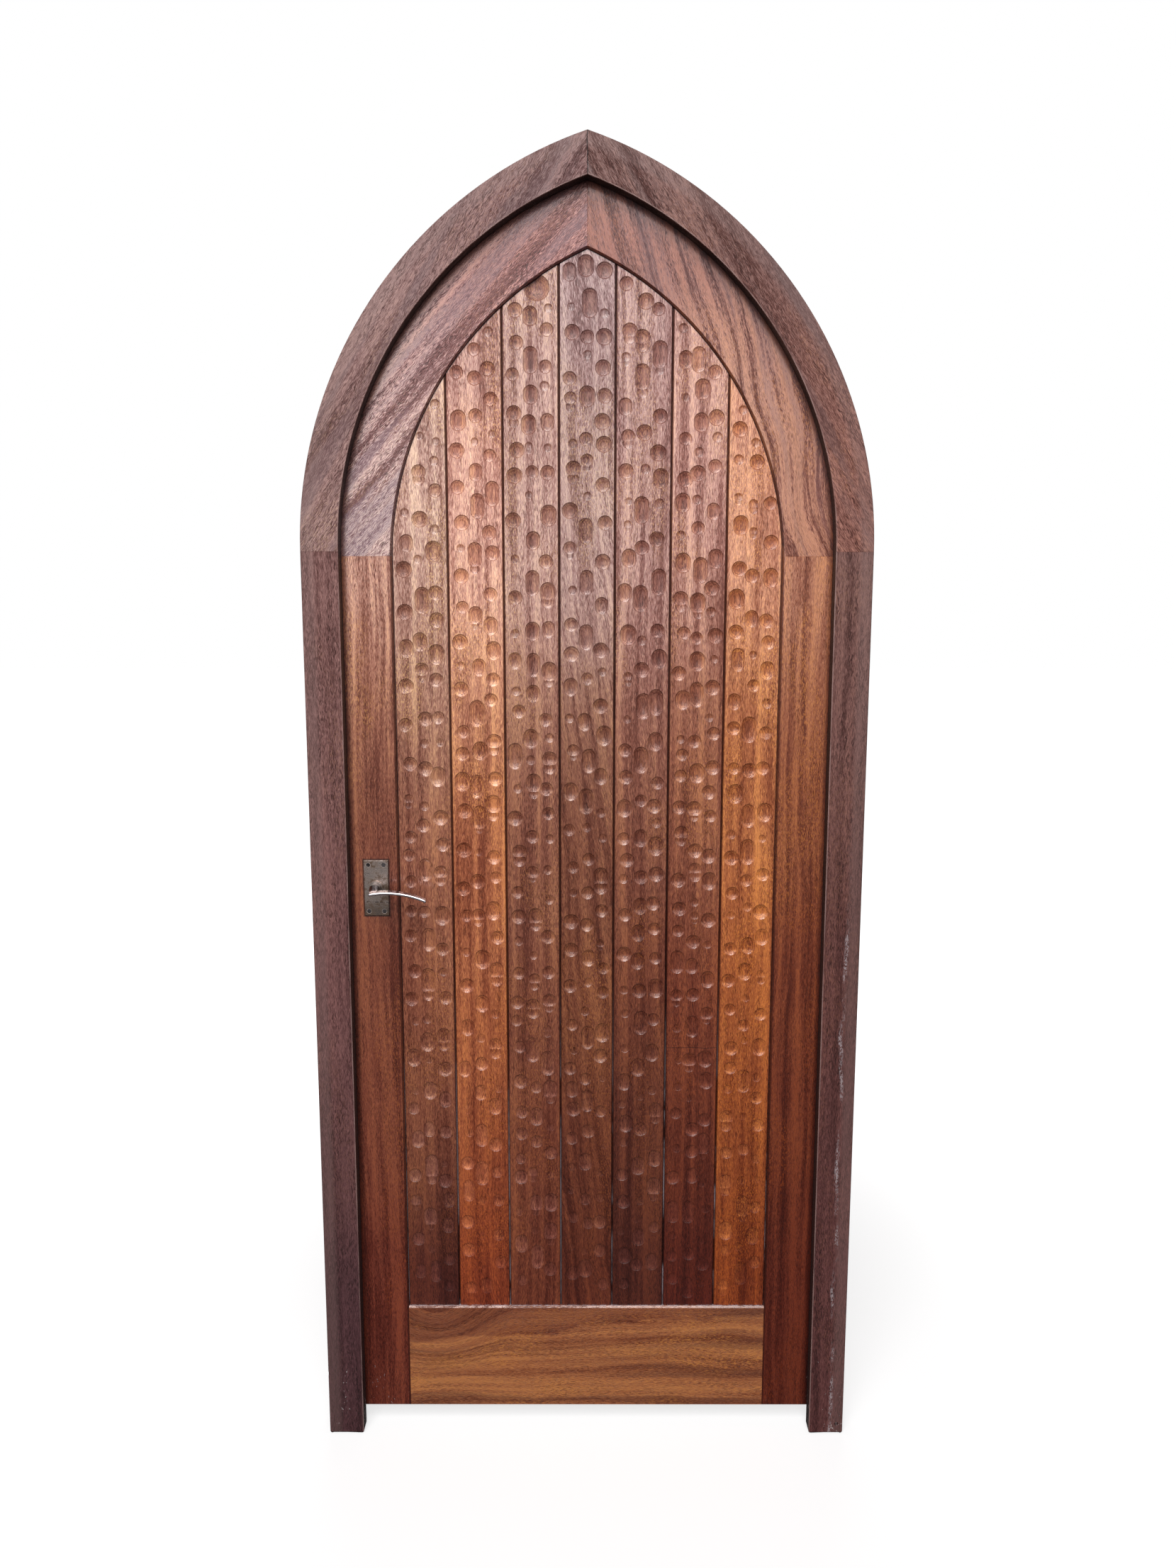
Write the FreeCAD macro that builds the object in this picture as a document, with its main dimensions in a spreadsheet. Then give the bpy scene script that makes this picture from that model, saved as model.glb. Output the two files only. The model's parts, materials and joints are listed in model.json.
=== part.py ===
"""A hardwood door with a pointed arch, hung in its own frame.

The frame is two straight posts and two curved heads that meet at a crown joint. The leaf sits in a rebate
in the back of the frame and is framed in the same way round seven upright tongue-and-groove boards.
A mortise latch with a lever on each face holds it, and three butt hinges carry it.

X runs to the right as seen from outside, Y runs inwards and Z runs up. The origin is on the floor, under
the middle of the leaf's thickness. Lengths are millimetres and angles are degrees.
"""
import FreeCAD, Part

import math
import os

import Sketcher
from FreeCAD import Vector

SIZES = {
    # Frame
    "opening_width": 920,        # between the two rebate faces
    "jamb_face": 68,             # width of a post or head, seen from the front
    "rebate_lap": 12,            # how far the frame covers the leaf's edge
    "lip_depth": 30,             # wood in front of the leaf
    "stop_gap": 2,               # between the lip and the leaf
    "side_gap": 3,               # round the leaf's edge
    "floor_gap": 40,             # under the leaf
    "spring_height": 1746,       # where the posts end and the arch begins
    "arch_radius": 745,          # of the frame's outer edge
    # Leaf
    "leaf_thickness": 44,
    "stile_width": 100,
    "joint_drop": 7,             # leaf's head joint below the frame's
    "bottom_rail_height": 216,
    "head_inset": 86,            # panel arch radius inside the leaf's own
    "panel_centre_drop": 15,     # panel arch centre below the head joint
    "panel_recess": 6,           # board faces behind the leaf's face
    "edge_chamfer": 3,           # round the panel
    # Boards
    "board_count": 7,
    "groove_depth": 12,          # round the panel, in the framing
    "groove_width": 10,
    "end_tongue": 10,            # how far the boards reach into that groove
    "tongue_play": 0.2,          # each side of a tongue
    "shoulder_gap": 0.5,         # between the boards and the framing
    "board_gap": 0.5,
    "board_tongue": 8,
    "board_groove_depth": 9,
    "board_groove_width": 8,
    "vee_depth": 2.5,
    # Joinery
    "loose_tenon_thickness": 12,
    "post_tenon_width": 30,
    "stile_tenon_width": 46,
    "crown_tenon_height": 24,
    "loose_tenon_reach": 25,     # into each piece of a crown joint
    "spring_tenon_reach": 40,    # into each piece of a spring joint
    "mortise_play": 1,           # past the end of a tenon
    "rail_tenon_length": 60,
    "rail_tenon_shoulder": 24,
    # Hinges
    "hinge_height": 100,
    "hinge_rise": 210,           # middle of the bottom hinge above the leaf's bottom
    "hinge_drop": 139,           # middle of the top hinge below the leaf's head joint
    "flap_width": 30,
    "flap_thickness": 2.5,
    "barrel_radius": 6,
    "barrel_offset": 6.5,        # pin's centre behind the back faces
    "knuckle_count": 5,
    "knuckle_play": 0.2,
    "pin_radius": 3,
    "pin_play": 0.05,
    "finial_radius": 4.5,
    "finial_height": 4,
    # Lever furniture
    "lever_height": 1119,
    "plate_width": 47,
    "plate_height": 108,
    "plate_thickness": 3,
    "plate_chamfer": 1,
    "plate_screw_inset": 9,
    "collar_radius": 14,
    "collar_height": 4,
    "neck_radius": 11,
    "neck_play": 0.1,
    "neck_length": 18,           # round part of the neck in front of the plate
    "lever_projection": 55,      # front of the arm from the leaf's face
    "arm_depth": 22,
    "arm_tip_depth": 13,
    "arm_thickness": 5.5,
    "arm_length": 101,
    "arm_root": 6,               # how far the arm starts behind the spindle
    "arm_crest": 27,             # highest point, from the spindle
    "arm_rise": 1.5,
    "arm_bend": 182,             # radius of the arm's curve
    "spindle_side": 8,
    "spindle_hole_radius": 10,
    "socket_depth": 20,
    # Latch
    "forend_height": 140,
    "forend_width": 22,
    "forend_thickness": 3,
    "forend_screw_inset": 11,
    "case_clearance": 5,         # between the case and the boards' groove
    "spindle_inset": 26,         # from the back of the case, which gives a backset of 57
    "case_height": 64,
    "case_thickness": 16,
    "case_wall": 1.5,
    "bolt_height": 16,
    "bolt_thickness": 10,
    "bolt_throw": 12,
    "bolt_play": 0.3,
    "bolt_body": 17,             # behind the forend
    "bolt_land": 2.5,            # flat of the tip beside the bevel
    "hub_radius": 9,
    "hub_arm_reach": 17,
    "hub_arm_width": 6,
    "tail_thickness": 2,
    "lug_thickness": 4,          # of the tail's end, which the follower's arm draws
    "lug_height": 6,
    "strike_height": 90,
    "strike_thickness": 2,
    "strike_margin": 11,
    "strike_screw_inset": 12,
    "keep_play": 0.5,
    # Screws
    "screw_radius": 2,
    "screw_play": 0.2,
    "screw_length": 19,
    "pilot_play": 0.05,
    "countersink_radius": 4,
    "head_radius": 3.8,
    "slot_width": 0.9,
    "slot_depth": 1,
}

UP = 1
DOWN = -1
LATCH_SIDE = -1
HINGE_SIDE = 1
OUTSIDE = -1
INSIDE = 1
NORMALS = {"XY_Plane": 1, "YZ_Plane": 1, "XZ_Plane": -1}

doc = FreeCAD.newDocument("ArchedDoor")
sheet = doc.addObject("Spreadsheet::Sheet", "Sizes")
nodes = []


class Size:
    """A number that keeps the sheet expression it comes from."""

    def __init__(self, value, text):
        self.value = float(value)
        self.text = text

    @staticmethod
    def of(item):
        """Take a plain number as a size too."""
        return item if isinstance(item, Size) else Size(item, f"({item})")

    def __add__(self, other):
        other = Size.of(other)
        return Size(self.value + other.value, f"({self.text} + {other.text})")

    def __sub__(self, other):
        other = Size.of(other)
        return Size(self.value - other.value, f"({self.text} - {other.text})")

    def __mul__(self, other):
        other = Size.of(other)
        return Size(self.value * other.value, f"({self.text} * {other.text})")

    def __truediv__(self, other):
        other = Size.of(other)
        return Size(self.value / other.value, f"({self.text} / {other.text})")

    def __radd__(self, other):
        return Size.of(other) + self

    def __rmul__(self, other):
        return Size.of(other) * self

    def __neg__(self):
        return self * -1


def root(square):
    """Square root of a size."""
    return Size(math.sqrt(square.value), f"sqrt({square.text})")


class Arch:
    """One side of a pointed arch, whose centre lies past the middle line by its reach."""

    def __init__(self, radius, reach, centre_height):
        self.radius = radius
        self.reach = reach
        self.centre_height = centre_height

    def grown(self, distance):
        """The arch at that distance outside this one."""
        return Arch(self.radius + distance, self.reach, self.centre_height)

    def half_width(self, height):
        """Distance from the middle line to the arch at that height."""
        rise = height - self.centre_height
        return root(self.radius * self.radius - rise * rise) - self.reach

    def height_at(self, distance):
        """Height of the arch at that distance from the middle line."""
        span = self.reach + distance
        return self.centre_height + root(self.radius * self.radius - span * span)

    def apex(self):
        """Height of the arch on the middle line."""
        return self.height_at(Size.of(0))


def fill_sheet():
    """Write every driving size to the sheet under its own alias."""
    for row, (name, value) in enumerate(SIZES.items(), start=1):
        sheet.set(f"A{row}", name)
        sheet.set(f"B{row}", str(value))
        sheet.setAlias(f"B{row}", name)
    doc.recompute()


def size(name):
    """A driving size, read from the sheet."""
    return Size(sheet.get(name), f"Sizes.{name}")


# Sketches and features


def new_body(node):
    """Start a body for one node."""
    body = doc.addObject("PartDesign::Body", node)
    body.Label = node
    nodes.append(body)
    return body


def sketch_on(body, plane, level):
    """Start a sketch parallel to an origin plane, at a place along that plane's own axis."""
    role = f"{plane}_Plane"
    support = next(item for item in body.Origin.OriginFeatures if item.Role == role)
    sketch = body.newObject("Sketcher::SketchObject", f"{body.Name}_sketch")
    sketch.AttachmentSupport = [(support, "")]
    sketch.MapMode = "FlatFace"
    sketch.setExpression("AttachmentOffset.Base.z", (NORMALS[role] * Size.of(level)).text)
    return sketch


def faces_normal(sketch, toward):
    """Whether a world direction runs along the sketch's normal."""
    support = sketch.AttachmentSupport[0][0]
    return NORMALS[support.Role] == toward


def bind(sketch, kind, places, length):
    """Add a driving constraint whose value comes from the sheet."""
    index = sketch.addConstraint(Sketcher.Constraint(kind, *places, length.value))
    sketch.setExpression(f"Constraints[{index}]", length.text)


def add_side(sketch, start, end, arc):
    """Add one side of an outline, and return its index with its start and end points' indices."""
    first = Vector(start[0].value, start[1].value, 0)
    last = Vector(end[0].value, end[1].value, 0)
    if arc is None:
        return sketch.addGeometry(Part.LineSegment(first, last)), 1, 2
    radius, turn = arc
    chord = last - first
    square = radius.value**2 - (chord.Length / 2) ** 2
    across = Vector(-chord.y, chord.x, 0).normalize()
    centre = (first + last) * 0.5 + across * (turn * math.sqrt(square))
    angles = [math.atan2(point.y - centre.y, point.x - centre.x) for point in (first, last)]
    if turn < 0:
        angles.reverse()
    if angles[1] < angles[0]:
        angles[1] += 2 * math.pi
    circle = Part.Circle(centre, Vector(0, 0, 1), radius.value)
    side = sketch.addGeometry(Part.ArcOfCircle(circle, *angles))
    return (side, 1, 2) if turn > 0 else (side, 2, 1)


def outline(sketch, corners, arcs=None):
    """Draw a closed outline.

    Each corner is a pair of sizes. arcs gives, for the side after a corner, its radius and 1 for an arc
    that turns anticlockwise or -1 for one that turns clockwise.
    """
    arcs = arcs or {}
    corners = [(Size.of(across), Size.of(along)) for across, along in corners]
    count = len(corners)
    sides = []
    for index, corner in enumerate(corners):
        sides.append(add_side(sketch, corner, corners[(index + 1) % count], arcs.get(index)))
    for index, (side, first, last) in enumerate(sides):
        following, following_first, _ = sides[(index + 1) % count]
        sketch.addConstraint(Sketcher.Constraint("Coincident", side, last, following, following_first))
        bind(sketch, "DistanceX", (side, first), corners[index][0])
        bind(sketch, "DistanceY", (side, first), corners[index][1])
        if index in arcs:
            bind(sketch, "Radius", (side,), arcs[index][0])


def rectangle(sketch, low, high):
    """Draw a rectangle between two opposite corners."""
    outline(sketch, [low, (high[0], low[1]), high, (low[0], high[1])])


def circles(sketch, centres, radius):
    """Draw circles of one radius."""
    for across, along in centres:
        across = Size.of(across)
        along = Size.of(along)
        centre = Vector(across.value, along.value, 0)
        ring = sketch.addGeometry(Part.Circle(centre, Vector(0, 0, 1), radius.value))
        bind(sketch, "DistanceX", (ring, 3), across)
        bind(sketch, "DistanceY", (ring, 3), along)
        bind(sketch, "Radius", (ring,), radius)


def pad(body, sketch, length, toward):
    """Add material from a sketch towards the plus (1) or minus (-1) end of the plane's axis."""
    feature = body.newObject("PartDesign::Pad", "Pad")
    feature.Profile = sketch
    feature.setExpression("Length", length.text)
    feature.Reversed = not faces_normal(sketch, toward)
    doc.recompute()
    return feature


def check_cut(body, feature, before):
    """Stop if a cut has taken nothing away."""
    doc.recompute()
    if not feature.Shape.Volume < before - 1e-6:
        raise RuntimeError(f"{body.Label}: {feature.Name} cuts nothing")


def pocket(body, sketch, depth, toward):
    """Cut a sketch's outline out of the body, towards the plus or minus end of the plane's axis."""
    before = body.Shape.Volume
    feature = body.newObject("PartDesign::Pocket", "Pocket")
    feature.Profile = sketch
    feature.setExpression("Length", depth.text)
    feature.Reversed = faces_normal(sketch, toward)
    check_cut(body, feature, before)


def pad_box(body, plane, level, low, high, length, toward):
    """Pad a rectangle."""
    sketch = sketch_on(body, plane, level)
    rectangle(sketch, low, high)
    pad(body, sketch, length, toward)


def pocket_box(body, plane, level, low, high, depth, toward):
    """Cut a rectangular recess."""
    sketch = sketch_on(body, plane, level)
    rectangle(sketch, low, high)
    pocket(body, sketch, depth, toward)


def pocket_circles(body, plane, level, centres, radius, depth, toward):
    """Cut round holes of one radius."""
    sketch = sketch_on(body, plane, level)
    circles(sketch, centres, radius)
    pocket(body, sketch, depth, toward)


def countersunk_holes(body, plane, level, centres, toward):
    """Drill countersunk screw holes through a plate, from the face at that level."""
    sketch = sketch_on(body, plane, level)
    circles(sketch, centres, screw_radius + screw_play)
    doc.recompute()
    before = body.Shape.Volume
    hole = body.newObject("PartDesign::Hole", "Hole")
    hole.Profile = sketch
    doc.recompute()
    hole.DepthType = "ThroughAll"
    hole.HoleCutType = "Countersink"
    hole.HoleCutCountersinkAngle = 90
    hole.setExpression("Diameter", (2 * (screw_radius + screw_play)).text)
    hole.setExpression("HoleCutDiameter", (2 * countersink_radius).text)
    hole.Reversed = faces_normal(sketch, toward)
    check_cut(body, hole, before)


def chamfer(body, edge_test, width):
    """Chamfer the edges that a test picks out."""
    base = body.Tip
    picked = [f"Edge{index}" for index, edge in enumerate(base.Shape.Edges, start=1) if edge_test(edge)]
    if not picked:
        raise RuntimeError(f"{body.Label}: no edge to chamfer")
    feature = body.newObject("PartDesign::Chamfer", "Chamfer")
    feature.Base = (base, picked)
    feature.setExpression("Size", width.text)
    before = base.Shape.Volume
    check_cut(body, feature, before)


def place(item, corner):
    """Bind an object's position to the sheet."""
    for axis, distance in zip("xyz", corner):
        item.setExpression(f"Placement.Base.{axis}", Size.of(distance).text)


def box(name, low, high):
    """A Part box between two opposite corners."""
    item = doc.addObject("Part::Box", name)
    for field, start, end in zip(("Length", "Width", "Height"), low, high):
        item.setExpression(field, (Size.of(end) - start).text)
    place(item, low)
    return item


def upright_cylinder(name, base, radius, height):
    """A Part cylinder that stands on its base point."""
    item = doc.addObject("Part::Cylinder", name)
    item.setExpression("Radius", radius.text)
    item.setExpression("Height", height.text)
    place(item, base)
    return item


def level_cylinder(name, base, radius, length):
    """A Part cylinder that runs inwards from its base point."""
    item = upright_cylinder(name, base, radius, length)
    item.Placement.Rotation = FreeCAD.Rotation(Vector(1, 0, 0), -90)
    place(item, base)
    return item


def keep(item, node):
    """Make an object one of the part's nodes."""
    item.Label = node
    nodes.append(item)
    return item


fill_sheet()

# Widths across the frame and the leaf
opening_half = size("opening_width") / 2
clear_half = opening_half - size("rebate_lap")
outer_half = clear_half + size("jamb_face")
leaf_half = opening_half - size("side_gap")
panel_half = leaf_half - size("stile_width")

# Depths, front to back
leaf_back = size("leaf_thickness") / 2
leaf_front = -leaf_back
rebate_stop = leaf_front - size("stop_gap")
frame_front = rebate_stop - size("lip_depth")
frame_back = leaf_back
frame_depth = frame_back - frame_front
board_front = leaf_front + size("panel_recess")
board_back = -board_front

# Heights
spring = size("spring_height")
leaf_bottom = size("floor_gap")
head_joint = spring - size("joint_drop")
rail_top = leaf_bottom + size("bottom_rail_height")

# The arches, from the frame's outer edge to the panel
outer_arch = Arch(size("arch_radius"), size("arch_radius") - outer_half, spring)
clear_arch = outer_arch.grown(-size("jamb_face"))
rebate_arch = clear_arch.grown(size("rebate_lap"))
leaf_arch = rebate_arch.grown(-size("side_gap"))
panel_drop = size("panel_centre_drop")
panel_radius = leaf_arch.radius - size("head_inset")
panel_reach = root(panel_radius * panel_radius - panel_drop * panel_drop) - panel_half
panel_arch = Arch(panel_radius, panel_reach, head_joint - panel_drop)

# Grooves and tongues
groove_half = size("groove_width") / 2
groove_depth = size("groove_depth")
tongue_half = groove_half - size("tongue_play")

# Screws
screw_radius = size("screw_radius")
screw_play = size("screw_play")
screw_length = size("screw_length")
countersink_radius = size("countersink_radius")
pilot_radius = screw_radius + size("pilot_play")

# Loose tenons
tenon_half = size("loose_tenon_thickness") / 2
spring_reach = size("spring_tenon_reach")
crown_reach = size("loose_tenon_reach")
mortise_play = size("mortise_play")
post_tenon_y = (frame_front + frame_back) / 2
post_tenon_x = (opening_half + outer_half) / 2
post_tenon_half = size("post_tenon_width") / 2
stile_tenon_x = (panel_half + groove_depth + leaf_half) / 2
stile_tenon_half = size("stile_tenon_width") / 2
crown_half = size("crown_tenon_height") / 2
frame_crown = (rebate_arch.apex() + outer_arch.height_at(crown_reach)) / 2
leaf_crown = (panel_arch.grown(groove_depth).apex() + leaf_arch.height_at(crown_reach)) / 2

# The latch and its furniture
case_back = -(panel_half + groove_depth + size("case_clearance"))
lever_x = case_back - size("spindle_inset")
lever_z = size("lever_height")
bolt_half = size("bolt_thickness") / 2
bolt_top = size("bolt_height") / 2
bolt_play = size("bolt_play")
bolt_throw = size("bolt_throw")
forend_back = size("forend_thickness") - leaf_half
case_half = size("case_thickness") / 2
case_top = size("case_height") / 2
case_wall = size("case_wall")
strike_face = -opening_half
neck_radius = size("neck_radius")

# The hinges
pin_x = (opening_half + leaf_half) / 2
pin_y = leaf_back + size("barrel_offset")
hinge_half = size("hinge_height") / 2
flap_inner = leaf_back - size("flap_width")
flap_thickness = size("flap_thickness")
hinge_low = leaf_bottom + size("hinge_rise")
hinge_high = head_joint - size("hinge_drop")
hinge_heights = {
    "bottom": hinge_low,
    "middle": (hinge_low + hinge_high) / 2,
    "top": hinge_high,
}


# Where the screws go


def hinge_screw_places(height):
    """Depth and height of the four screws of one flap, staggered in two rows."""
    third = size("flap_width") / 3
    quarter = hinge_half / 4
    near = leaf_back - third
    far = leaf_back - 2 * third
    outer = 3 * quarter
    inner = quarter
    return [(near, height + outer), (far, height + inner), (near, height - inner), (far, height - outer)]


def plate_screw_places():
    """Place across and up of the four screws of a backplate."""
    across = size("plate_width") / 2 - size("plate_screw_inset")
    up = size("plate_height") / 2 - size("plate_screw_inset")
    return [(lever_x + side * across, lever_z + end * up) for side in (-1, 1) for end in (-1, 1)]


def edge_screw_places(height, inset):
    """Depth and height of the two screws of a forend or a strike."""
    reach = height / 2 - inset
    return [(Size.of(0), lever_z + reach), (Size.of(0), lever_z - reach)]


forend_screws = edge_screw_places(size("forend_height"), size("forend_screw_inset"))
strike_screws = edge_screw_places(size("strike_height"), size("strike_screw_inset"))


# Frame


def frame_post(node, side):
    """A rebated post, with a mortise in its top."""
    body = new_body(node)
    section = sketch_on(body, "XY", 0)
    outline(section, [
        (side * outer_half, frame_front),
        (side * clear_half, frame_front),
        (side * clear_half, rebate_stop),
        (side * opening_half, rebate_stop),
        (side * opening_half, frame_back),
        (side * outer_half, frame_back),
    ])
    pad(body, section, spring, UP)
    low = (side * post_tenon_x - post_tenon_half, post_tenon_y - tenon_half)
    high = (side * post_tenon_x + post_tenon_half, post_tenon_y + tenon_half)
    pocket_box(body, "XY", spring, low, high, spring_reach + mortise_play, DOWN)
    return body


def frame_head(node, side):
    """A curved head with a rebate that follows its inner edge."""
    body = new_body(node)
    face = sketch_on(body, "XZ", frame_front)
    corners = [
        (side * outer_half, spring),
        (0, outer_arch.apex()),
        (0, clear_arch.apex()),
        (side * clear_half, spring),
    ]
    outline(face, corners, {0: (outer_arch.radius, side), 2: (clear_arch.radius, -side)})
    pad(body, face, frame_depth, INSIDE)
    rebate = sketch_on(body, "XZ", frame_back)
    corners = [
        (side * opening_half, spring),
        (0, rebate_arch.apex()),
        (0, clear_arch.apex()),
        (side * clear_half, spring),
    ]
    outline(rebate, corners, {0: (rebate_arch.radius, side), 2: (clear_arch.radius, -side)})
    pocket(body, rebate, frame_back - rebate_stop, OUTSIDE)
    low = (side * post_tenon_x - post_tenon_half, post_tenon_y - tenon_half)
    high = (side * post_tenon_x + post_tenon_half, post_tenon_y + tenon_half)
    pocket_box(body, "XY", spring, low, high, spring_reach + mortise_play, UP)
    low = (post_tenon_y - tenon_half, frame_crown - crown_half)
    high = (post_tenon_y + tenon_half, frame_crown + crown_half)
    pocket_box(body, "YZ", 0, low, high, crown_reach + mortise_play, side)


def frame_tenons():
    """The loose tenons of the frame's spring joints and crown joint."""
    for node, side in (("frame_tenon_latch", LATCH_SIDE), ("frame_tenon_hinge", HINGE_SIDE)):
        middle = side * post_tenon_x
        low = (middle - post_tenon_half, post_tenon_y - tenon_half, spring - spring_reach)
        high = (middle + post_tenon_half, post_tenon_y + tenon_half, spring + spring_reach)
        keep(box(node, low, high), node)
    low = (-crown_reach, post_tenon_y - tenon_half, frame_crown - crown_half)
    high = (crown_reach, post_tenon_y + tenon_half, frame_crown + crown_half)
    keep(box("frame_tenon_crown", low, high), "frame_tenon_crown")


def cut_strike_seat(post):
    """Let the strike plate, its screws and the latch bolt into the latch-side post."""
    strike_top = size("strike_height") / 2
    low = (-size("strike_margin"), lever_z - strike_top)
    high = (leaf_back, lever_z + strike_top)
    pocket_box(post, "YZ", strike_face, low, high, size("strike_thickness"), LATCH_SIDE)
    reach = bolt_throw + mortise_play
    low = (-(bolt_half + size("keep_play")), lever_z - bolt_top - size("keep_play"))
    high = (bolt_half + size("keep_play"), lever_z + bolt_top + size("keep_play"))
    pocket_box(post, "YZ", strike_face, low, high, reach, LATCH_SIDE)
    depth = screw_length + mortise_play
    pocket_circles(post, "YZ", strike_face, strike_screws, pilot_radius, depth, LATCH_SIDE)


def cut_hinge_seats(body, face, toward):
    """Let three flaps and their screws into an edge, in the direction away from the gap."""
    flaps = sketch_on(body, "YZ", face)
    for height in hinge_heights.values():
        rectangle(flaps, (flap_inner, height - hinge_half), (leaf_back, height + hinge_half))
    pocket(body, flaps, flap_thickness, toward)
    places = [spot for height in hinge_heights.values() for spot in hinge_screw_places(height)]
    pocket_circles(body, "YZ", face, places, pilot_radius, screw_length + mortise_play, toward)


# Leaf framing


def leaf_stile(node, side):
    """A stile, grooved for the boards, chamfered beside them and mortised for the rail and the head."""
    body = new_body(node)
    section = sketch_on(body, "XY", leaf_bottom)
    outline(section, [
        (side * panel_half, leaf_front),
        (side * panel_half, -groove_half),
        (side * (panel_half + groove_depth), -groove_half),
        (side * (panel_half + groove_depth), groove_half),
        (side * panel_half, groove_half),
        (side * panel_half, leaf_back),
        (side * leaf_half, leaf_back),
        (side * leaf_half, leaf_front),
    ])
    pad(body, section, head_joint - leaf_bottom, UP)
    width = size("edge_chamfer")
    edges = sketch_on(body, "XY", rail_top)
    for face in (OUTSIDE, INSIDE):
        outline(edges, [
            (side * panel_half, face * leaf_back),
            (side * (panel_half + width), face * leaf_back),
            (side * panel_half, face * (leaf_back - width)),
        ])
    pocket(body, edges, head_joint - rail_top, UP)
    low, high = rail_tenon_span()
    reach = size("rail_tenon_length") + mortise_play
    pocket_box(body, "YZ", side * panel_half, low, high, reach, side)
    low = (side * stile_tenon_x - stile_tenon_half, -tenon_half)
    high = (side * stile_tenon_x + stile_tenon_half, tenon_half)
    pocket_box(body, "XY", head_joint, low, high, spring_reach + mortise_play, DOWN)
    return body


def leaf_head(node, side):
    """A curved head of the leaf, grooved and chamfered along the panel's arch."""
    body = new_body(node)
    face = sketch_on(body, "XZ", leaf_front)
    corners = [
        (side * leaf_half, head_joint),
        (side * leaf_half, spring),
        (0, leaf_arch.apex()),
        (0, panel_arch.apex()),
        (side * panel_half, head_joint),
    ]
    outline(face, corners, {1: (leaf_arch.radius, side), 3: (panel_arch.radius, -side)})
    pad(body, face, size("leaf_thickness"), INSIDE)
    groove = sketch_on(body, "XZ", -groove_half)
    bottom = panel_arch.grown(groove_depth)
    mouth = panel_arch.grown(-groove_depth)
    corners = [
        (side * bottom.half_width(head_joint), head_joint),
        (0, bottom.apex()),
        (0, mouth.apex()),
        (side * mouth.half_width(head_joint), head_joint),
    ]
    outline(groove, corners, {0: (bottom.radius, side), 2: (mouth.radius, -side)})
    pocket(body, groove, size("groove_width"), INSIDE)
    low = (side * stile_tenon_x - stile_tenon_half, -tenon_half)
    high = (side * stile_tenon_x + stile_tenon_half, tenon_half)
    pocket_box(body, "XY", head_joint, low, high, spring_reach + mortise_play, UP)
    low = (-tenon_half, leaf_crown - crown_half)
    high = (tenon_half, leaf_crown + crown_half)
    pocket_box(body, "YZ", 0, low, high, crown_reach + mortise_play, side)
    chamfer(body, on_panel_arch, size("edge_chamfer"))


def on_panel_arch(edge):
    """Whether an edge is the panel's arch on one of the leaf's faces."""
    round_edge = isinstance(edge.Curve, Part.Circle)
    if not round_edge or abs(edge.Curve.Radius - panel_arch.radius.value) > 1e-3:
        return False
    return abs(abs(edge.Curve.Center.y) - leaf_back.value) < 1e-3


def rail_tenon_span():
    """Low and high corners of the bottom rail's tenon, across the leaf's thickness and up."""
    shoulder = size("rail_tenon_shoulder")
    return (-tenon_half, leaf_bottom + shoulder), (tenon_half, rail_top - groove_depth - shoulder)


def bottom_rail():
    """The bottom rail, with a through haunch that fills the stile grooves and a tenon at each end."""
    body = new_body("bottom_rail")
    width = size("edge_chamfer")
    section = sketch_on(body, "YZ", -panel_half)
    outline(section, [
        (leaf_front, leaf_bottom),
        (leaf_back, leaf_bottom),
        (leaf_back, rail_top - width),
        (leaf_back - width, rail_top),
        (groove_half, rail_top),
        (groove_half, rail_top - groove_depth),
        (-groove_half, rail_top - groove_depth),
        (-groove_half, rail_top),
        (leaf_front + width, rail_top),
        (leaf_front, rail_top - width),
    ])
    pad(body, section, 2 * panel_half, HINGE_SIDE)
    haunch = panel_half + groove_depth
    high = (groove_half, rail_top - groove_depth)
    pad_box(body, "YZ", -haunch, (-groove_half, leaf_bottom), high, 2 * haunch, HINGE_SIDE)
    tip = panel_half + size("rail_tenon_length")
    low, high = rail_tenon_span()
    pad_box(body, "YZ", -tip, low, high, 2 * tip, HINGE_SIDE)


def leaf_tenons():
    """The loose tenons of the leaf's head joints and crown joint."""
    for node, side in (("leaf_tenon_latch", LATCH_SIDE), ("leaf_tenon_hinge", HINGE_SIDE)):
        middle = side * stile_tenon_x
        low = (middle - stile_tenon_half, -tenon_half, head_joint - spring_reach)
        high = (middle + stile_tenon_half, tenon_half, head_joint + spring_reach)
        keep(box(node, low, high), node)
    low = (-crown_reach, -tenon_half, leaf_crown - crown_half)
    high = (crown_reach, tenon_half, leaf_crown + crown_half)
    keep(box("leaf_tenon_crown", low, high), "leaf_tenon_crown")


def cut_latch_seat(stile):
    """Let the latch, its spindle and its furniture's screws into the latch stile."""
    forend_top = size("forend_height") / 2
    forend_side = size("forend_width") / 2
    low = (-forend_side, lever_z - forend_top)
    high = (forend_side, lever_z + forend_top)
    pocket_box(stile, "YZ", -leaf_half, low, high, size("forend_thickness"), HINGE_SIDE)
    low = (-case_half, lever_z - case_top)
    high = (case_half, lever_z + case_top)
    depth = case_back + leaf_half
    pocket_box(stile, "YZ", -leaf_half, low, high, depth, HINGE_SIDE)
    hole = size("spindle_hole_radius")
    thickness = size("leaf_thickness")
    pocket_circles(stile, "XZ", leaf_front, [(lever_x, lever_z)], hole, thickness, INSIDE)
    depth = screw_length + mortise_play
    for face in (OUTSIDE, INSIDE):
        level = face * leaf_back
        pocket_circles(stile, "XZ", level, plate_screw_places(), pilot_radius, depth, -face)
    pocket_circles(stile, "YZ", -leaf_half, forend_screws, pilot_radius, depth, HINGE_SIDE)


# Boards


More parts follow.
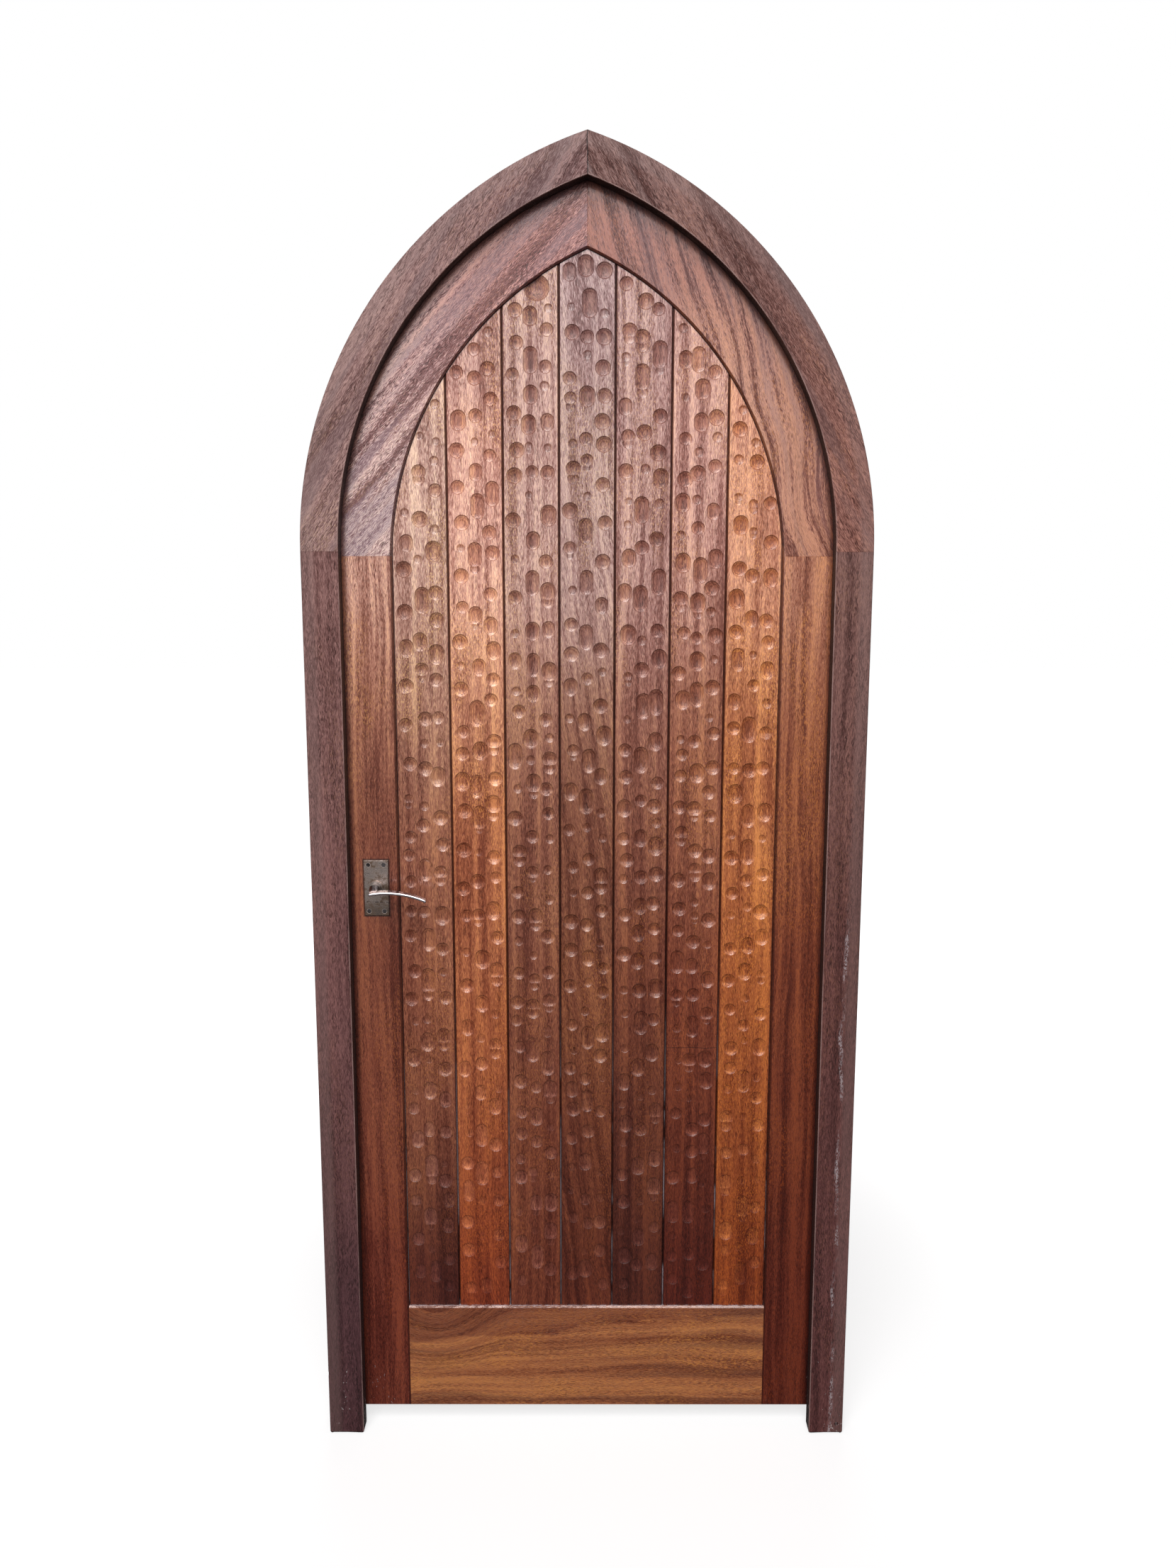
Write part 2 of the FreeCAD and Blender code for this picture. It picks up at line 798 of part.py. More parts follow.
def panel_trim(body, arch, bottom, level, depth, toward):
    """Cut away what lies outside a panel outline."""
    sketch = sketch_on(body, "XZ", level)
    half = arch.half_width(head_joint)
    outline(sketch, [
        (-half, bottom),
        (-half, head_joint),
        (0, arch.apex()),
        (half, head_joint),
        (half, bottom),
    ], {1: (arch.radius, -1), 2: (arch.radius, -1)})
    margin = size("stile_width")
    low = (-(half + margin), bottom - margin)
    rectangle(sketch, low, (half + margin, arch.apex() + margin))
    pocket(body, sketch, depth, toward)


def board_section(first_board, last_board, left, right):
    """Corners of a board's section, with vees, a tongue on its right and a groove on its left."""
    vee = size("vee_depth")
    tongue_side = size("board_groove_width") / 2 - size("tongue_play")
    tongue_tip = right + size("board_tongue")
    groove_side = size("board_groove_width") / 2
    groove_end = left + size("board_groove_depth")
    if last_board:
        edge = panel_half + groove_depth
        corners = [(edge, board_front), (edge, board_back)]
    else:
        corners = [
            (right - vee, board_front),
            (right, board_front + vee),
            (right, -tongue_side),
            (tongue_tip, -tongue_side),
            (tongue_tip, tongue_side),
            (right, tongue_side),
            (right, board_back - vee),
            (right - vee, board_back),
        ]
    if first_board:
        edge = -(panel_half + groove_depth)
        return corners + [(edge, board_back), (edge, board_front)]
    return corners + [
        (left + vee, board_back),
        (left, board_back - vee),
        (left, groove_side),
        (groove_end, groove_side),
        (groove_end, -groove_side),
        (left, -groove_side),
        (left, board_front + vee),
        (left + vee, board_front),
    ]


def boards():
    """The upright boards, trimmed to the panel's outline with a tongue all round."""
    count = int(size("board_count").value)
    cover = 2 * panel_half / size("board_count")
    start = rail_top - groove_depth
    half_gap = size("board_gap") / 2
    tongue_arch = panel_arch.grown(size("end_tongue"))
    shoulder_arch = panel_arch.grown(-size("shoulder_gap"))
    thickness = board_back - board_front
    shoulder_depth = board_back - tongue_half
    for index in range(count):
        body = new_body(f"board_{index + 1}")
        left = -panel_half + cover * index + half_gap
        right = -panel_half + cover * (index + 1) - half_gap
        section = sketch_on(body, "XY", start)
        outline(section, board_section(index == 0, index == count - 1, left, right))
        pad(body, section, tongue_arch.apex() + groove_depth - start, UP)
        tongue_bottom = rail_top - size("end_tongue")
        panel_trim(body, tongue_arch, tongue_bottom, board_front, thickness, INSIDE)
        shoulder_bottom = rail_top + size("shoulder_gap")
        panel_trim(body, shoulder_arch, shoulder_bottom, board_front, shoulder_depth, INSIDE)
        panel_trim(body, shoulder_arch, shoulder_bottom, board_back, shoulder_depth, OUTSIDE)


# Hinges


def knuckle_levels(height, first):
    """Bottom of every other knuckle of a hinge, from the first or the second one up."""
    count = int(size("knuckle_count").value)
    length = size("hinge_height") / size("knuckle_count")
    return [height - hinge_half + length * index for index in range(first, count, 2)]


def hinge_flap(node, height, face, toward, first):
    """A flap whose plate is let into an edge, with its knuckles and countersunk holes."""
    body = new_body(node)
    low = (flap_inner, height - hinge_half)
    high = (leaf_back, height + hinge_half)
    pad_box(body, "YZ", face, low, high, flap_thickness, toward)
    play = size("knuckle_play") / 2
    length = size("hinge_height") / size("knuckle_count") - size("knuckle_play")
    for bottom in knuckle_levels(height, first):
        web_low = (leaf_back, bottom + play)
        web_high = (pin_y, bottom + play + length)
        pad_box(body, "YZ", face, web_low, web_high, flap_thickness, toward)
        barrel = sketch_on(body, "XY", bottom + play)
        circles(barrel, [(pin_x, pin_y)], size("barrel_radius"))
        pad(body, barrel, length, UP)
    bore = size("pin_radius") + size("pin_play")
    level = height - hinge_half
    pocket_circles(body, "XY", level, [(pin_x, pin_y)], bore, size("hinge_height"), UP)
    countersunk_holes(body, "YZ", face, hinge_screw_places(height), toward)


def hinge_pin(node, height):
    """A hinge pin with a finial at each end."""
    radius = size("pin_radius")
    bottom = height - hinge_half
    top = height + hinge_half
    finial = size("finial_height")
    shank = upright_cylinder(f"{node}_shank", (pin_x, pin_y, bottom), radius, top - bottom)
    parts = [shank]
    for name, level in (("lower", bottom - finial), ("upper", top)):
        base = (pin_x, pin_y, level)
        parts.append(upright_cylinder(f"{node}_{name}_finial", base, size("finial_radius"), finial))
    pin = doc.addObject("Part::MultiFuse", node)
    pin.Shapes = parts
    pin.Refine = True
    keep(pin, node)


def hinges():
    """Three butt hinges, each with a flap on the frame, a flap on the leaf and a pin."""
    for name, height in hinge_heights.items():
        hinge_flap(f"hinge_{name}_frame_flap", height, opening_half, HINGE_SIDE, 0)
        hinge_flap(f"hinge_{name}_leaf_flap", height, leaf_half, LATCH_SIDE, 1)
        hinge_pin(f"hinge_{name}_pin", height)


# Latch


def latch_case():
    """The latch's sheet-metal case, open for the bolt and the spindle."""
    low = (forend_back, -case_half, lever_z - case_top)
    high = (case_back, case_half, lever_z + case_top)
    shell = box("latch_case_outside", low, high)
    low = (forend_back + case_wall, case_wall - case_half, lever_z - case_top + case_wall)
    high = (case_back - case_wall, case_half - case_wall, lever_z + case_top - case_wall)
    hollow = box("latch_case_hollow", low, high)
    low = (forend_back, -(bolt_half + bolt_play), lever_z - bolt_top - bolt_play)
    high = (forend_back + 2 * case_wall, bolt_half + bolt_play, lever_z + bolt_top + bolt_play)
    mouth = box("latch_case_mouth", low, high)
    base = (lever_x, -case_half, lever_z)
    hole = level_cylinder("latch_case_hole", base, size("hub_radius"), 2 * case_half)
    tools = doc.addObject("Part::MultiFuse", "latch_case_tools")
    tools.Shapes = [hollow, mouth, hole]
    case = doc.addObject("Part::Cut", "latch_case")
    case.Base = shell
    case.Tool = tools
    keep(case, "latch_case")


def edge_plate(node, face, low, high, thickness, mouth_play, screw_places, toward):
    """A forend or strike: a plate let into an edge, with the bolt's mouth and two screw holes."""
    body = new_body(node)
    pad_box(body, "YZ", face, low, high, thickness, toward)
    mouth_low = (-(bolt_half + mouth_play), lever_z - bolt_top - mouth_play)
    mouth_high = (bolt_half + mouth_play, lever_z + bolt_top + mouth_play)
    pocket_box(body, "YZ", face, mouth_low, mouth_high, thickness, toward)
    countersunk_holes(body, "YZ", face, screw_places, toward)


def latch_plates():
    """The forend on the leaf's edge and the strike in the frame's rebate."""
    top = size("forend_height") / 2
    side = size("forend_width") / 2
    low = (-side, lever_z - top)
    high = (side, lever_z + top)
    edge_plate("latch_forend", -leaf_half, low, high, size("forend_thickness"), bolt_play,
               forend_screws, HINGE_SIDE)
    top = size("strike_height") / 2
    low = (-size("strike_margin"), lever_z - top)
    high = (leaf_back, lever_z + top)
    edge_plate("strike_plate", strike_face, low, high, size("strike_thickness"), size("keep_play"),
               strike_screws, LATCH_SIDE)


def latch_bolt():
    """The bevelled spring bolt, with a tail that the follower's arm draws back."""
    body = new_body("latch_bolt")
    tip = -(leaf_half + bolt_throw)
    rear = forend_back + size("bolt_body")
    face = sketch_on(body, "XY", lever_z - bolt_top)
    outline(face, [
        (tip, bolt_half),
        (tip, bolt_half - size("bolt_land")),
        (-leaf_half, -bolt_half),
        (rear, -bolt_half),
        (rear, bolt_half),
    ])
    pad(body, face, 2 * bolt_top, UP)
    tail_front = tail_face()
    lug_front = lever_x + size("hub_arm_width") / 2 + bolt_play
    lug_back = lug_front + size("lug_thickness")
    top = lever_z + size("hub_arm_reach")
    low = (rear - size("lug_thickness"), lever_z + bolt_top - size("tail_thickness"))
    pad_box(body, "XZ", tail_front, low, (lug_back, top), size("tail_thickness"), INSIDE)
    low = (lug_front, top - size("lug_height"))
    pad_box(body, "XZ", -bolt_half, low, (lug_back, top), tail_front + bolt_half, INSIDE)


def tail_face():
    """Front of the bolt's tail, which runs beside the follower."""
    return bolt_half - size("tail_thickness")


def latch_follower():
    """The follower: a hub with a square hole and an arm that draws the bolt's tail."""
    front = case_wall + bolt_play - case_half
    length = tail_face() - bolt_play - front
    hub = level_cylinder("follower_hub", (lever_x, front, lever_z), size("hub_radius") - bolt_play, length)
    half = size("hub_arm_width") / 2
    low = (lever_x - half, front, lever_z)
    high = (lever_x + half, front + length, lever_z + size("hub_arm_reach"))
    arm = box("follower_arm", low, high)
    whole = doc.addObject("Part::Fuse", "follower_whole")
    whole.Base = hub
    whole.Tool = arm
    side = size("spindle_side") / 2
    low = (lever_x - side, front, lever_z - side)
    high = (lever_x + side, front + length, lever_z + side)
    follower = doc.addObject("Part::Cut", "latch_follower")
    follower.Base = whole
    follower.Tool = box("follower_square", low, high)
    keep(follower, "latch_follower")


# Lever furniture


def backplate(node, face):
    """A bevelled backplate with a collar round the lever's neck and four countersunk holes."""
    body = new_body(node)
    surface = face * leaf_back
    outer = face * (leaf_back + size("plate_thickness"))
    half_width = size("plate_width") / 2
    half_height = size("plate_height") / 2
    low = (lever_x - half_width, lever_z - half_height)
    high = (lever_x + half_width, lever_z + half_height)
    pad_box(body, "XZ", surface, low, high, size("plate_thickness"), face)
    chamfer(body, lambda edge: lies_at_depth(edge, outer), size("plate_chamfer"))
    collar = sketch_on(body, "XZ", outer)
    circles(collar, [(lever_x, lever_z)], size("collar_radius"))
    pad(body, collar, size("collar_height"), face)
    bore = neck_radius + size("neck_play")
    depth = size("plate_thickness") + size("collar_height")
    pocket_circles(body, "XZ", surface, [(lever_x, lever_z)], bore, depth, face)
    countersunk_holes(body, "XZ", outer, plate_screw_places(), -face)


def lies_at_depth(edge, depth):
    """Whether the whole of an edge lies at one place along Y."""
    return abs(edge.BoundBox.YMin - depth.value) < 1e-3 and abs(edge.BoundBox.YMax - depth.value) < 1e-3


def arm_height(distance, offset):
    """Height of the lever arm's curve at a distance from the spindle, that far off its middle."""
    span = distance - size("arm_crest")
    radius = size("arm_bend") + offset
    centre = lever_z + size("arm_rise") - size("arm_bend")
    return centre + root(radius * radius - span * span)


def lever(node, face):
    """A lever: a round neck that flattens into a thin arm, which droops towards its tip."""
    body = new_body(node)
    half = size("arm_thickness") / 2
    neck_start = leaf_back + size("shoulder_gap")
    neck_end = leaf_back + size("plate_thickness") + size("neck_length")
    arm_front = leaf_back + size("lever_projection")
    arm_back = arm_front - size("arm_depth")
    blend_end = (arm_back + arm_front) / 2
    neck = sketch_on(body, "XZ", face * neck_start)
    circles(neck, [(lever_x, lever_z)], neck_radius)
    pad(body, neck, neck_end - neck_start, face)
    round_end = sketch_on(body, "XZ", face * neck_end)
    circles(round_end, [(lever_x, lever_z)], neck_radius)
    flat_end = sketch_on(body, "XZ", face * blend_end)
    low = (lever_x - size("arm_root"), arm_height(-size("arm_root"), -half))
    high = (lever_x + neck_radius, arm_height(-size("arm_root"), half))
    rectangle(flat_end, low, high)
    loft = body.newObject("PartDesign::AdditiveLoft", "Loft")
    loft.Profile = round_end
    loft.Sections = [flat_end]
    doc.recompute()
    strip = sketch_on(body, "XZ", face * arm_back)
    begin = -size("arm_root")
    tip = size("arm_length")
    corners = [
        (lever_x + begin, arm_height(begin, half)),
        (lever_x + tip, arm_height(tip, half)),
        (lever_x + tip, arm_height(tip, -half)),
        (lever_x + begin, arm_height(begin, -half)),
    ]
    outline(strip, corners, {0: (size("arm_bend") + half, -1), 2: (size("arm_bend") - half, 1)})
    pad(body, strip, size("arm_depth"), face)
    taper = size("arm_depth") - size("arm_tip_depth")
    wedge = sketch_on(body, "XY", arm_height(size("arm_crest"), half))
    outline(wedge, [
        (lever_x + neck_radius, face * arm_back),
        (lever_x + tip, face * arm_back),
        (lever_x + tip, face * (arm_back + taper)),
    ])
    pocket(body, wedge, size("arm_depth") + size("arm_thickness"), DOWN)
    side = size("spindle_side") / 2
    low = (lever_x - side, lever_z - side)
    high = (lever_x + side, lever_z + side)
    pocket_box(body, "XZ", face * neck_start, low, high, size("socket_depth"), face)


def spindle():
    """The square spindle that joins the two levers through the follower."""
    side = size("spindle_side") / 2
    reach = leaf_back + size("shoulder_gap") + size("socket_depth") - mortise_play
    low = (lever_x - side, -reach, lever_z - side)
    keep(box("spindle", low, (lever_x + side, reach, lever_z + side)), "spindle")


# Screws


def screw(head, direction):
    """One slotted countersunk screw, from the middle of its head."""
    head_radius = size("head_radius").value
    radius = screw_radius.value
    straight = screw_length.value - radius
    slot_width = size("slot_width").value
    slot_depth = size("slot_depth").value
    shank = Part.makeCylinder(radius, straight, head, direction)
    cone = Part.makeCone(head_radius, radius, head_radius - radius, head, direction)
    point = Part.makeCone(radius, 0, radius, head + direction * straight, direction)
    slot = Part.makeBox(2 * head_radius, slot_width, 2 * slot_depth)
    slot.translate(Vector(-head_radius, -slot_width / 2, -slot_depth))
    slot.Placement = FreeCAD.Placement(head, FreeCAD.Rotation(Vector(0, 0, 1), direction)) * slot.Placement
    return shank.multiFuse([cone, point]).removeSplitter().cut(slot)


def screw_group(node, heads_and_directions):
    """A set of like screws as one node of separate solids."""
    group = doc.addObject("Part::Feature", node)
    group.Shape = Part.makeCompound([screw(head, direction) for head, direction in heads_and_directions])
    keep(group, node)


def edge_screws(face, toward, places):
    """Heads and directions of screws that run across the door from an upright face."""
    direction = Vector(toward, 0, 0)
    return [(Vector(face.value, depth.value, height.value), direction) for depth, height in places]


def screws():
    """Every screw of the door."""
    places = [spot for height in hinge_heights.values() for spot in hinge_screw_places(height)]
    screw_group("hinge_frame_screws", edge_screws(opening_half, HINGE_SIDE, places))
    screw_group("hinge_leaf_screws", edge_screws(leaf_half, LATCH_SIDE, places))
    screw_group("forend_screws", edge_screws(-leaf_half, HINGE_SIDE, forend_screws))
    screw_group("strike_screws", edge_screws(strike_face, LATCH_SIDE, strike_screws))
    for node, face in (("outside_plate_screws", OUTSIDE), ("inside_plate_screws", INSIDE)):
        depth = face * (leaf_back + size("plate_thickness")).value
        direction = Vector(0, -face, 0)
        heads = [Vector(across.value, depth, up.value) for across, up in plate_screw_places()]
        screw_group(node, [(head, direction) for head in heads])


def check_and_export():
    """Check every object, then write one STEP file for each node."""
    doc.recompute()
    for item in doc.Objects:
        if "Invalid" in item.State or "Error" in item.State:
            raise RuntimeError(f"{item.Label}: {item.State}")
    for item in nodes:
        if item.Shape.isNull() or not item.Shape.isValid() or not item.Shape.Solids:
            raise RuntimeError(f"{item.Label}: bad shape")
    os.makedirs("parts", exist_ok=True)
    for item in nodes:
        item.Shape.exportStep(f"parts/{item.Label}.step")


def build():
    """Build the whole door."""
    latch_post = frame_post("frame_post_latch", LATCH_SIDE)
    hinge_post = frame_post("frame_post_hinge", HINGE_SIDE)
    cut_strike_seat(latch_post)
    cut_hinge_seats(hinge_post, opening_half, HINGE_SIDE)
    frame_head("frame_head_latch", LATCH_SIDE)
    frame_head("frame_head_hinge", HINGE_SIDE)
    frame_tenons()
    latch_stile = leaf_stile("leaf_stile_latch", LATCH_SIDE)
    hinge_stile = leaf_stile("leaf_stile_hinge", HINGE_SIDE)
    cut_latch_seat(latch_stile)
    cut_hinge_seats(hinge_stile, leaf_half, LATCH_SIDE)
    leaf_head("leaf_head_latch", LATCH_SIDE)
    leaf_head("leaf_head_hinge", HINGE_SIDE)
    bottom_rail()
    leaf_tenons()
    boards()
    hinges()
    latch_case()
    latch_plates()
    latch_bolt()
    latch_follower()
    backplate("outside_backplate", OUTSIDE)
    backplate("inside_backplate", INSIDE)
    lever("outside_lever", OUTSIDE)
    lever("inside_lever", INSIDE)
    spindle()
    screws()


build()
check_and_export()
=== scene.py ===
"""Dresses a pointed-arch hardwood door in its frame: worked pieces, finishes, lights and camera.

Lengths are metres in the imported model's own frame. The origin is on the floor under the middle
of the door, +X points right as seen from outside, +Y inwards and +Z up.
"""

import json
import logging
import random
from contextlib import contextmanager
from dataclasses import dataclass, field, replace
from enum import Enum
from functools import cache
from math import degrees, hypot, pi, radians
from typing import Callable, ClassVar, Iterator

import bmesh
import bpy
from mathutils import Matrix, Vector

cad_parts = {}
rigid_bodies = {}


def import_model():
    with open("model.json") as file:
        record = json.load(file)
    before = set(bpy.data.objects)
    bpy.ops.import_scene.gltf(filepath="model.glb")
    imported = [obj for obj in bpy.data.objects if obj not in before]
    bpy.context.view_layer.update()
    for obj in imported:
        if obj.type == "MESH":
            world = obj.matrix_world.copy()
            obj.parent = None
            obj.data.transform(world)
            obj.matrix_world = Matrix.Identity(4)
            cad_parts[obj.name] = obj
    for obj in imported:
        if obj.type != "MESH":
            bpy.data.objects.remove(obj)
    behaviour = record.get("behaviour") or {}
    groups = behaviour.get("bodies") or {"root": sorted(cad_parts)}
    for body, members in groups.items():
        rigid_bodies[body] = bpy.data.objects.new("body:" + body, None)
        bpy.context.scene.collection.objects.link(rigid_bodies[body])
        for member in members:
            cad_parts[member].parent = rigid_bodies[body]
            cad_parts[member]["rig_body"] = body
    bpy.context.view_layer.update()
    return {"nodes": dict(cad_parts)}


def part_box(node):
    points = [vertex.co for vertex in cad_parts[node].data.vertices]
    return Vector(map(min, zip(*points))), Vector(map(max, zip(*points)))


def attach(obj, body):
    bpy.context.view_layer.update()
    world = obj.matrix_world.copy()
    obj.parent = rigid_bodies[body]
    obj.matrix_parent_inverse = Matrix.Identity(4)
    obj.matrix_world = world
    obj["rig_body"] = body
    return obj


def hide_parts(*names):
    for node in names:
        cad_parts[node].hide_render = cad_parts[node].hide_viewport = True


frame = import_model()

NODES: dict[str, bpy.types.Object] = frame["nodes"]

Socket = bpy.types.NodeSocket
Bit = bmesh.types.BMVert | bmesh.types.BMEdge
Place = tuple[float, float, float]
Tint = tuple[float, float, float]

PLAIN: Tint = (1.0, 1.0, 1.0)  # white, or a tint that changes nothing
SPINDLE = (-0.400, 1.119)  # where the levers turn, across and up

# What sets the figure of a piece of wood.
FIGURE = ("wander", "curl", "ribbon", "stripe", "fibre", "mottle", "pores", "silk")
# The heights between which each of its tones comes in.
# crown and bloom are painted sheen that makes the wood paler and bluer higher up; foot and apex
# change it towards the foot and the top
TONES = {"foot": (1.05, 0.20), "crown": (0.90, 1.80), "bloom": (1.42, 1.80), "apex": (1.80, 2.35)}
GROWTH_LAYERS = 5200.0  # radians of light and dark layers in a metre of board
NOISE_SPAN = (0.27, 0.73)  # the lowest and highest that a noise node usually gives

CLOSE = 0.0001  # places nearer than this are the same
LEVEL = 0.01  # how far a level or upright run may lean
ALONG = 0.3  # how far a run along a piece may lean into it
CHORD_SAG = 0.0007  # how far the straight edges of an arch may stray from it
SKIN = 0.001  # depth of the skin at a front face
SQUARE_ON = 0.9999  # how squarely a flat face looks to the front
SHARP_FOLD = 30.0  # degrees from which an edge is sharp

log = logging.getLogger("door")


# ---------------------------------------------------------------- shared layout of the door


@dataclass(frozen=True)
class Layout:
    """The lines of the door that its pieces and its finishes share.

    Attributes:
        spring: Height at which the frame's arch starts.
        reach: How far past the middle line the frame's arch is struck from.
        clear_half: Half of the clear opening.
        rebate_half: Half of the rebated opening behind the stop.
        outer_half: Half of the frame's whole width.
        frame_front: Front face of the frame.
        stop: Face that the leaf shuts against.
        back: Back face of the frame and of the leaf.
        leaf_joint: Height of the joint between stiles and leaf heads.
        rail_top: Top of the bottom rail.
        panel_half: Half of the boarded panel's width.
        board_front: Front face of the boards.
        board_cover: Width that one board covers.
        panel_spring: Height at which the panel's arch is struck.
        panel_reach: How far past the middle line the panel's arch is struck from.
        panel_radius: Radius of the panel's arch.
    """

    spring: float = 1.746
    reach: float = 0.229
    clear_half: float = 0.448
    rebate_half: float = 0.460
    outer_half: float = 0.516
    frame_front: float = -0.054
    stop: float = -0.024
    back: float = 0.022
    leaf_joint: float = 1.739
    rail_top: float = 0.256
    panel_half: float = 0.357
    board_front: float = -0.016
    board_cover: float = 0.102
    panel_spring: float = 1.724
    panel_reach: float = 0.2428
    panel_radius: float = 0.600

    def across(self, x: float, z: float) -> float:
        """How far a point is from the middle, measured square to the frame's run.

        Args:
            x: Sideways place of the point.
            z: Height of the point.

        Returns:
            The distance, which is the same all along one arris of the frame.
        """
        if z <= self.spring:
            return abs(x)
        return hypot(abs(x) + self.reach, z - self.spring) - self.reach

    def inside_panel(self, x: float, z: float) -> float:
        """How far a point lies inside the panel's arched edge.

        Args:
            x: Sideways place of the point.
            z: Height of the point.

        Returns:
            The distance, negative outside the panel.
        """
        if z <= self.panel_spring:
            return self.panel_half - abs(x)
        return self.panel_radius - hypot(abs(x) + self.panel_reach, z - self.panel_spring)


LAYOUT = Layout()


# ---------------------------------------------------------------- writing shader nodes


class Signal:
    """What runs from node to node of a shader, with arithmetic on its values written as usual."""

    def __init__(self, graph: "Graph", socket: Socket) -> None:
        """Follows one socket of a graph."""
        self.graph, self.socket = graph, socket

    def __add__(self, other: "Fed") -> "Signal":
        """The sum with another value."""
        return self.graph.math("ADD", self, other)

    def __radd__(self, other: float) -> "Signal":
        """The sum with a number before it."""
        return self.graph.math("ADD", other, self)

    def __sub__(self, other: "Fed") -> "Signal":
        """What is left after another value is taken away."""
        return self.graph.math("SUBTRACT", self, other)

    def __rsub__(self, other: float) -> "Signal":
        """What is left of a number after this is taken away."""
        return self.graph.math("SUBTRACT", other, self)

    def __mul__(self, other: "Fed") -> "Signal":
        """The product with another value."""
        return self.graph.math("MULTIPLY", self, other)

    def __or__(self, other: "Fed") -> "Signal":
        """The greater of two values, which joins two masks."""
        return self.graph.math("MAXIMUM", self, other)

    def __abs__(self) -> "Signal":
        """The value without its sign."""
        return self.graph.math("ABSOLUTE", self)

    def between(self, first: "Fed", second: "Fed") -> "Signal":
        """The value that lies this share of the way from the first to the second."""
        return self.graph.take("Mix", {0: self, 2: first, 3: second})

    def ease(self, start: float, end: float, low: float = 0.0, high: float = 1.0) -> "Signal":
        """A smooth step from low to high between start and end, whichever way round they are."""
        fed = {0: self, 1: start, 2: end, 3: low, 4: high}
        return self.graph.take("MapRange", fed, interpolation_type="SMOOTHSTEP")


Fed = Signal | Socket | float | tuple


class Graph:
    """Lays shader nodes in one node tree and joins them up."""

    def __init__(self, tree: bpy.types.NodeTree) -> None:
        """Starts in an empty tree."""
        self.tree = tree
        tree.nodes.clear()

    def node(self, kind: str, fed: dict | None = None, **settings: object) -> bpy.types.Node:
        """Adds one shader node.

        Args:
            kind: The node's type, without its ShaderNode prefix.
            fed: Values or signals for its inputs, by input name or number.
            **settings: Properties of the node.

        Returns:
            The new node.
        """
        made = self.tree.nodes.new("ShaderNode" + kind)
        column, row = divmod(len(self.tree.nodes), 6)
        made.location = (220 * column, -190 * row)
        for name, value in settings.items():
            setattr(made, name, value)
        for name, value in (fed or {}).items():
            self.feed(made.inputs[name], value)
        return made

    def take(
        self, kind: str, fed: dict | None = None, output: int | str = 0, **settings: object
    ) -> Signal:
        """Adds a node as node() does, and follows the output that is named or numbered."""
        return Signal(self, self.node(kind, fed, **settings).outputs[output])

    def feed(self, socket: Socket, value: Fed) -> None:
        """Joins a signal to an input, or sets the input's own value.

        Args:
            socket: The input.
            value: Where it is fed from, or its value.
        """
        value = value.socket if isinstance(value, Signal) else value
        if isinstance(value, Socket):
            self.tree.links.new(value, socket)
        elif socket.type == "RGBA" and len(value) == 3:
            socket.default_value = (*value, 1.0)
        else:
            socket.default_value = value

    def math(self, operation: str, first: Fed, second: Fed = 0.0, clamp: bool = False) -> Signal:
        """One step of arithmetic on values, kept between 0 and 1 if it is clamped."""
        return self.take("Math", {0: first, 1: second}, operation=operation, use_clamp=clamp)

    def vector(self, operation: str, first: Fed, second: Fed) -> Signal:
        """One step of arithmetic on vectors."""
        return self.take("VectorMath", {0: first, 1: second}, operation=operation)

    def length(self, arrow: Fed) -> Signal:
        """The length of a vector."""
        return self.take("VectorMath", {0: arrow}, "Value", operation="LENGTH")

    def span(self, first: Signal, second: Signal) -> Signal:
        """The long side of a right triangle with these two short sides."""
        return self.math("SQRT", first * first + second * second)

    def shift(self, place: Fed, sideways: Signal) -> Signal:
        """A place moved along X."""
        return self.vector("ADD", place, self.take("CombineXYZ", {0: sideways}))

    def blend(self, share: Fed, first: Fed, second: Fed, way: str = "MIX") -> Signal:
        """A mix of two colours, with this share of the second."""
        fed = {0: share, 6: first, 7: second}
        return self.take("Mix", fed, 2, data_type="RGBA", blend_type=way)

    def noise(self, place: Fed, turns: Place, detail: float = 2.0, rough: float = 0.5) -> Signal:
        """Soft random variation from 0 to 1.

        Args:
            place: The position it is read at.
            turns: How often it changes in a metre along x, y and z.
            detail: How many finer layers it has.
            rough: How strong those layers are.

        Returns:
            The variation, spread over the whole of 0 to 1.
        """
        spread = self.vector("MULTIPLY", place, turns)
        fed = {"Vector": spread, "Scale": 1.0, "Detail": detail, "Roughness": rough}
        least, most = NOISE_SPAN
        return self.take("MapRange", {0: self.take("TexNoise", fed), 1: least, 2: most})

    def split(self, place: Fed) -> tuple[Signal, ...]:
        """The x, y and z of a vector."""
        return tuple(Signal(self, part) for part in self.node("SeparateXYZ", {0: place}).outputs)

    def group(self, tree: bpy.types.NodeTree, fed: dict[str, Fed]) -> dict[str, Signal]:
        """Places a shared node group, fed by name, and follows its outputs by name."""
        placed = self.node("Group", fed, node_tree=tree)
        return {socket.name: Signal(self, socket) for socket in placed.outputs}


class Kind(Enum):
    """What a node group's socket carries."""

    VALUE = "NodeSocketFloat"
    PLACE = "NodeSocketVector"
    COLOUR = "NodeSocketColor"


def open_group(
    name: str, takes: dict[str, Kind], gives: dict[str, Kind]
) -> tuple[Graph, dict[str, Signal], bpy.types.NodeInputs]:
    """Starts a shared node group.

    Args:
        name: The group's name.
        takes: Its inputs.
        gives: Its outputs.

    Returns:
        The graph to write in, the signals that it takes and the sockets that it gives to.
    """
    tree = bpy.data.node_groups.new(name, "ShaderNodeTree")
    for way, titles in (("INPUT", takes), ("OUTPUT", gives)):
        for title, kind in titles.items():
            tree.interface.new_socket(title, in_out=way, socket_type=kind.value)
    graph = Graph(tree)
    start, end = (tree.nodes.new(f"NodeGroup{side}") for side in ("Input", "Output"))
    start.location, end.location = (-300, 0), (3200, 0)
    return graph, {title: Signal(graph, start.outputs[title]) for title in takes}, end.inputs


# ---------------------------------------------------------------- shared effects


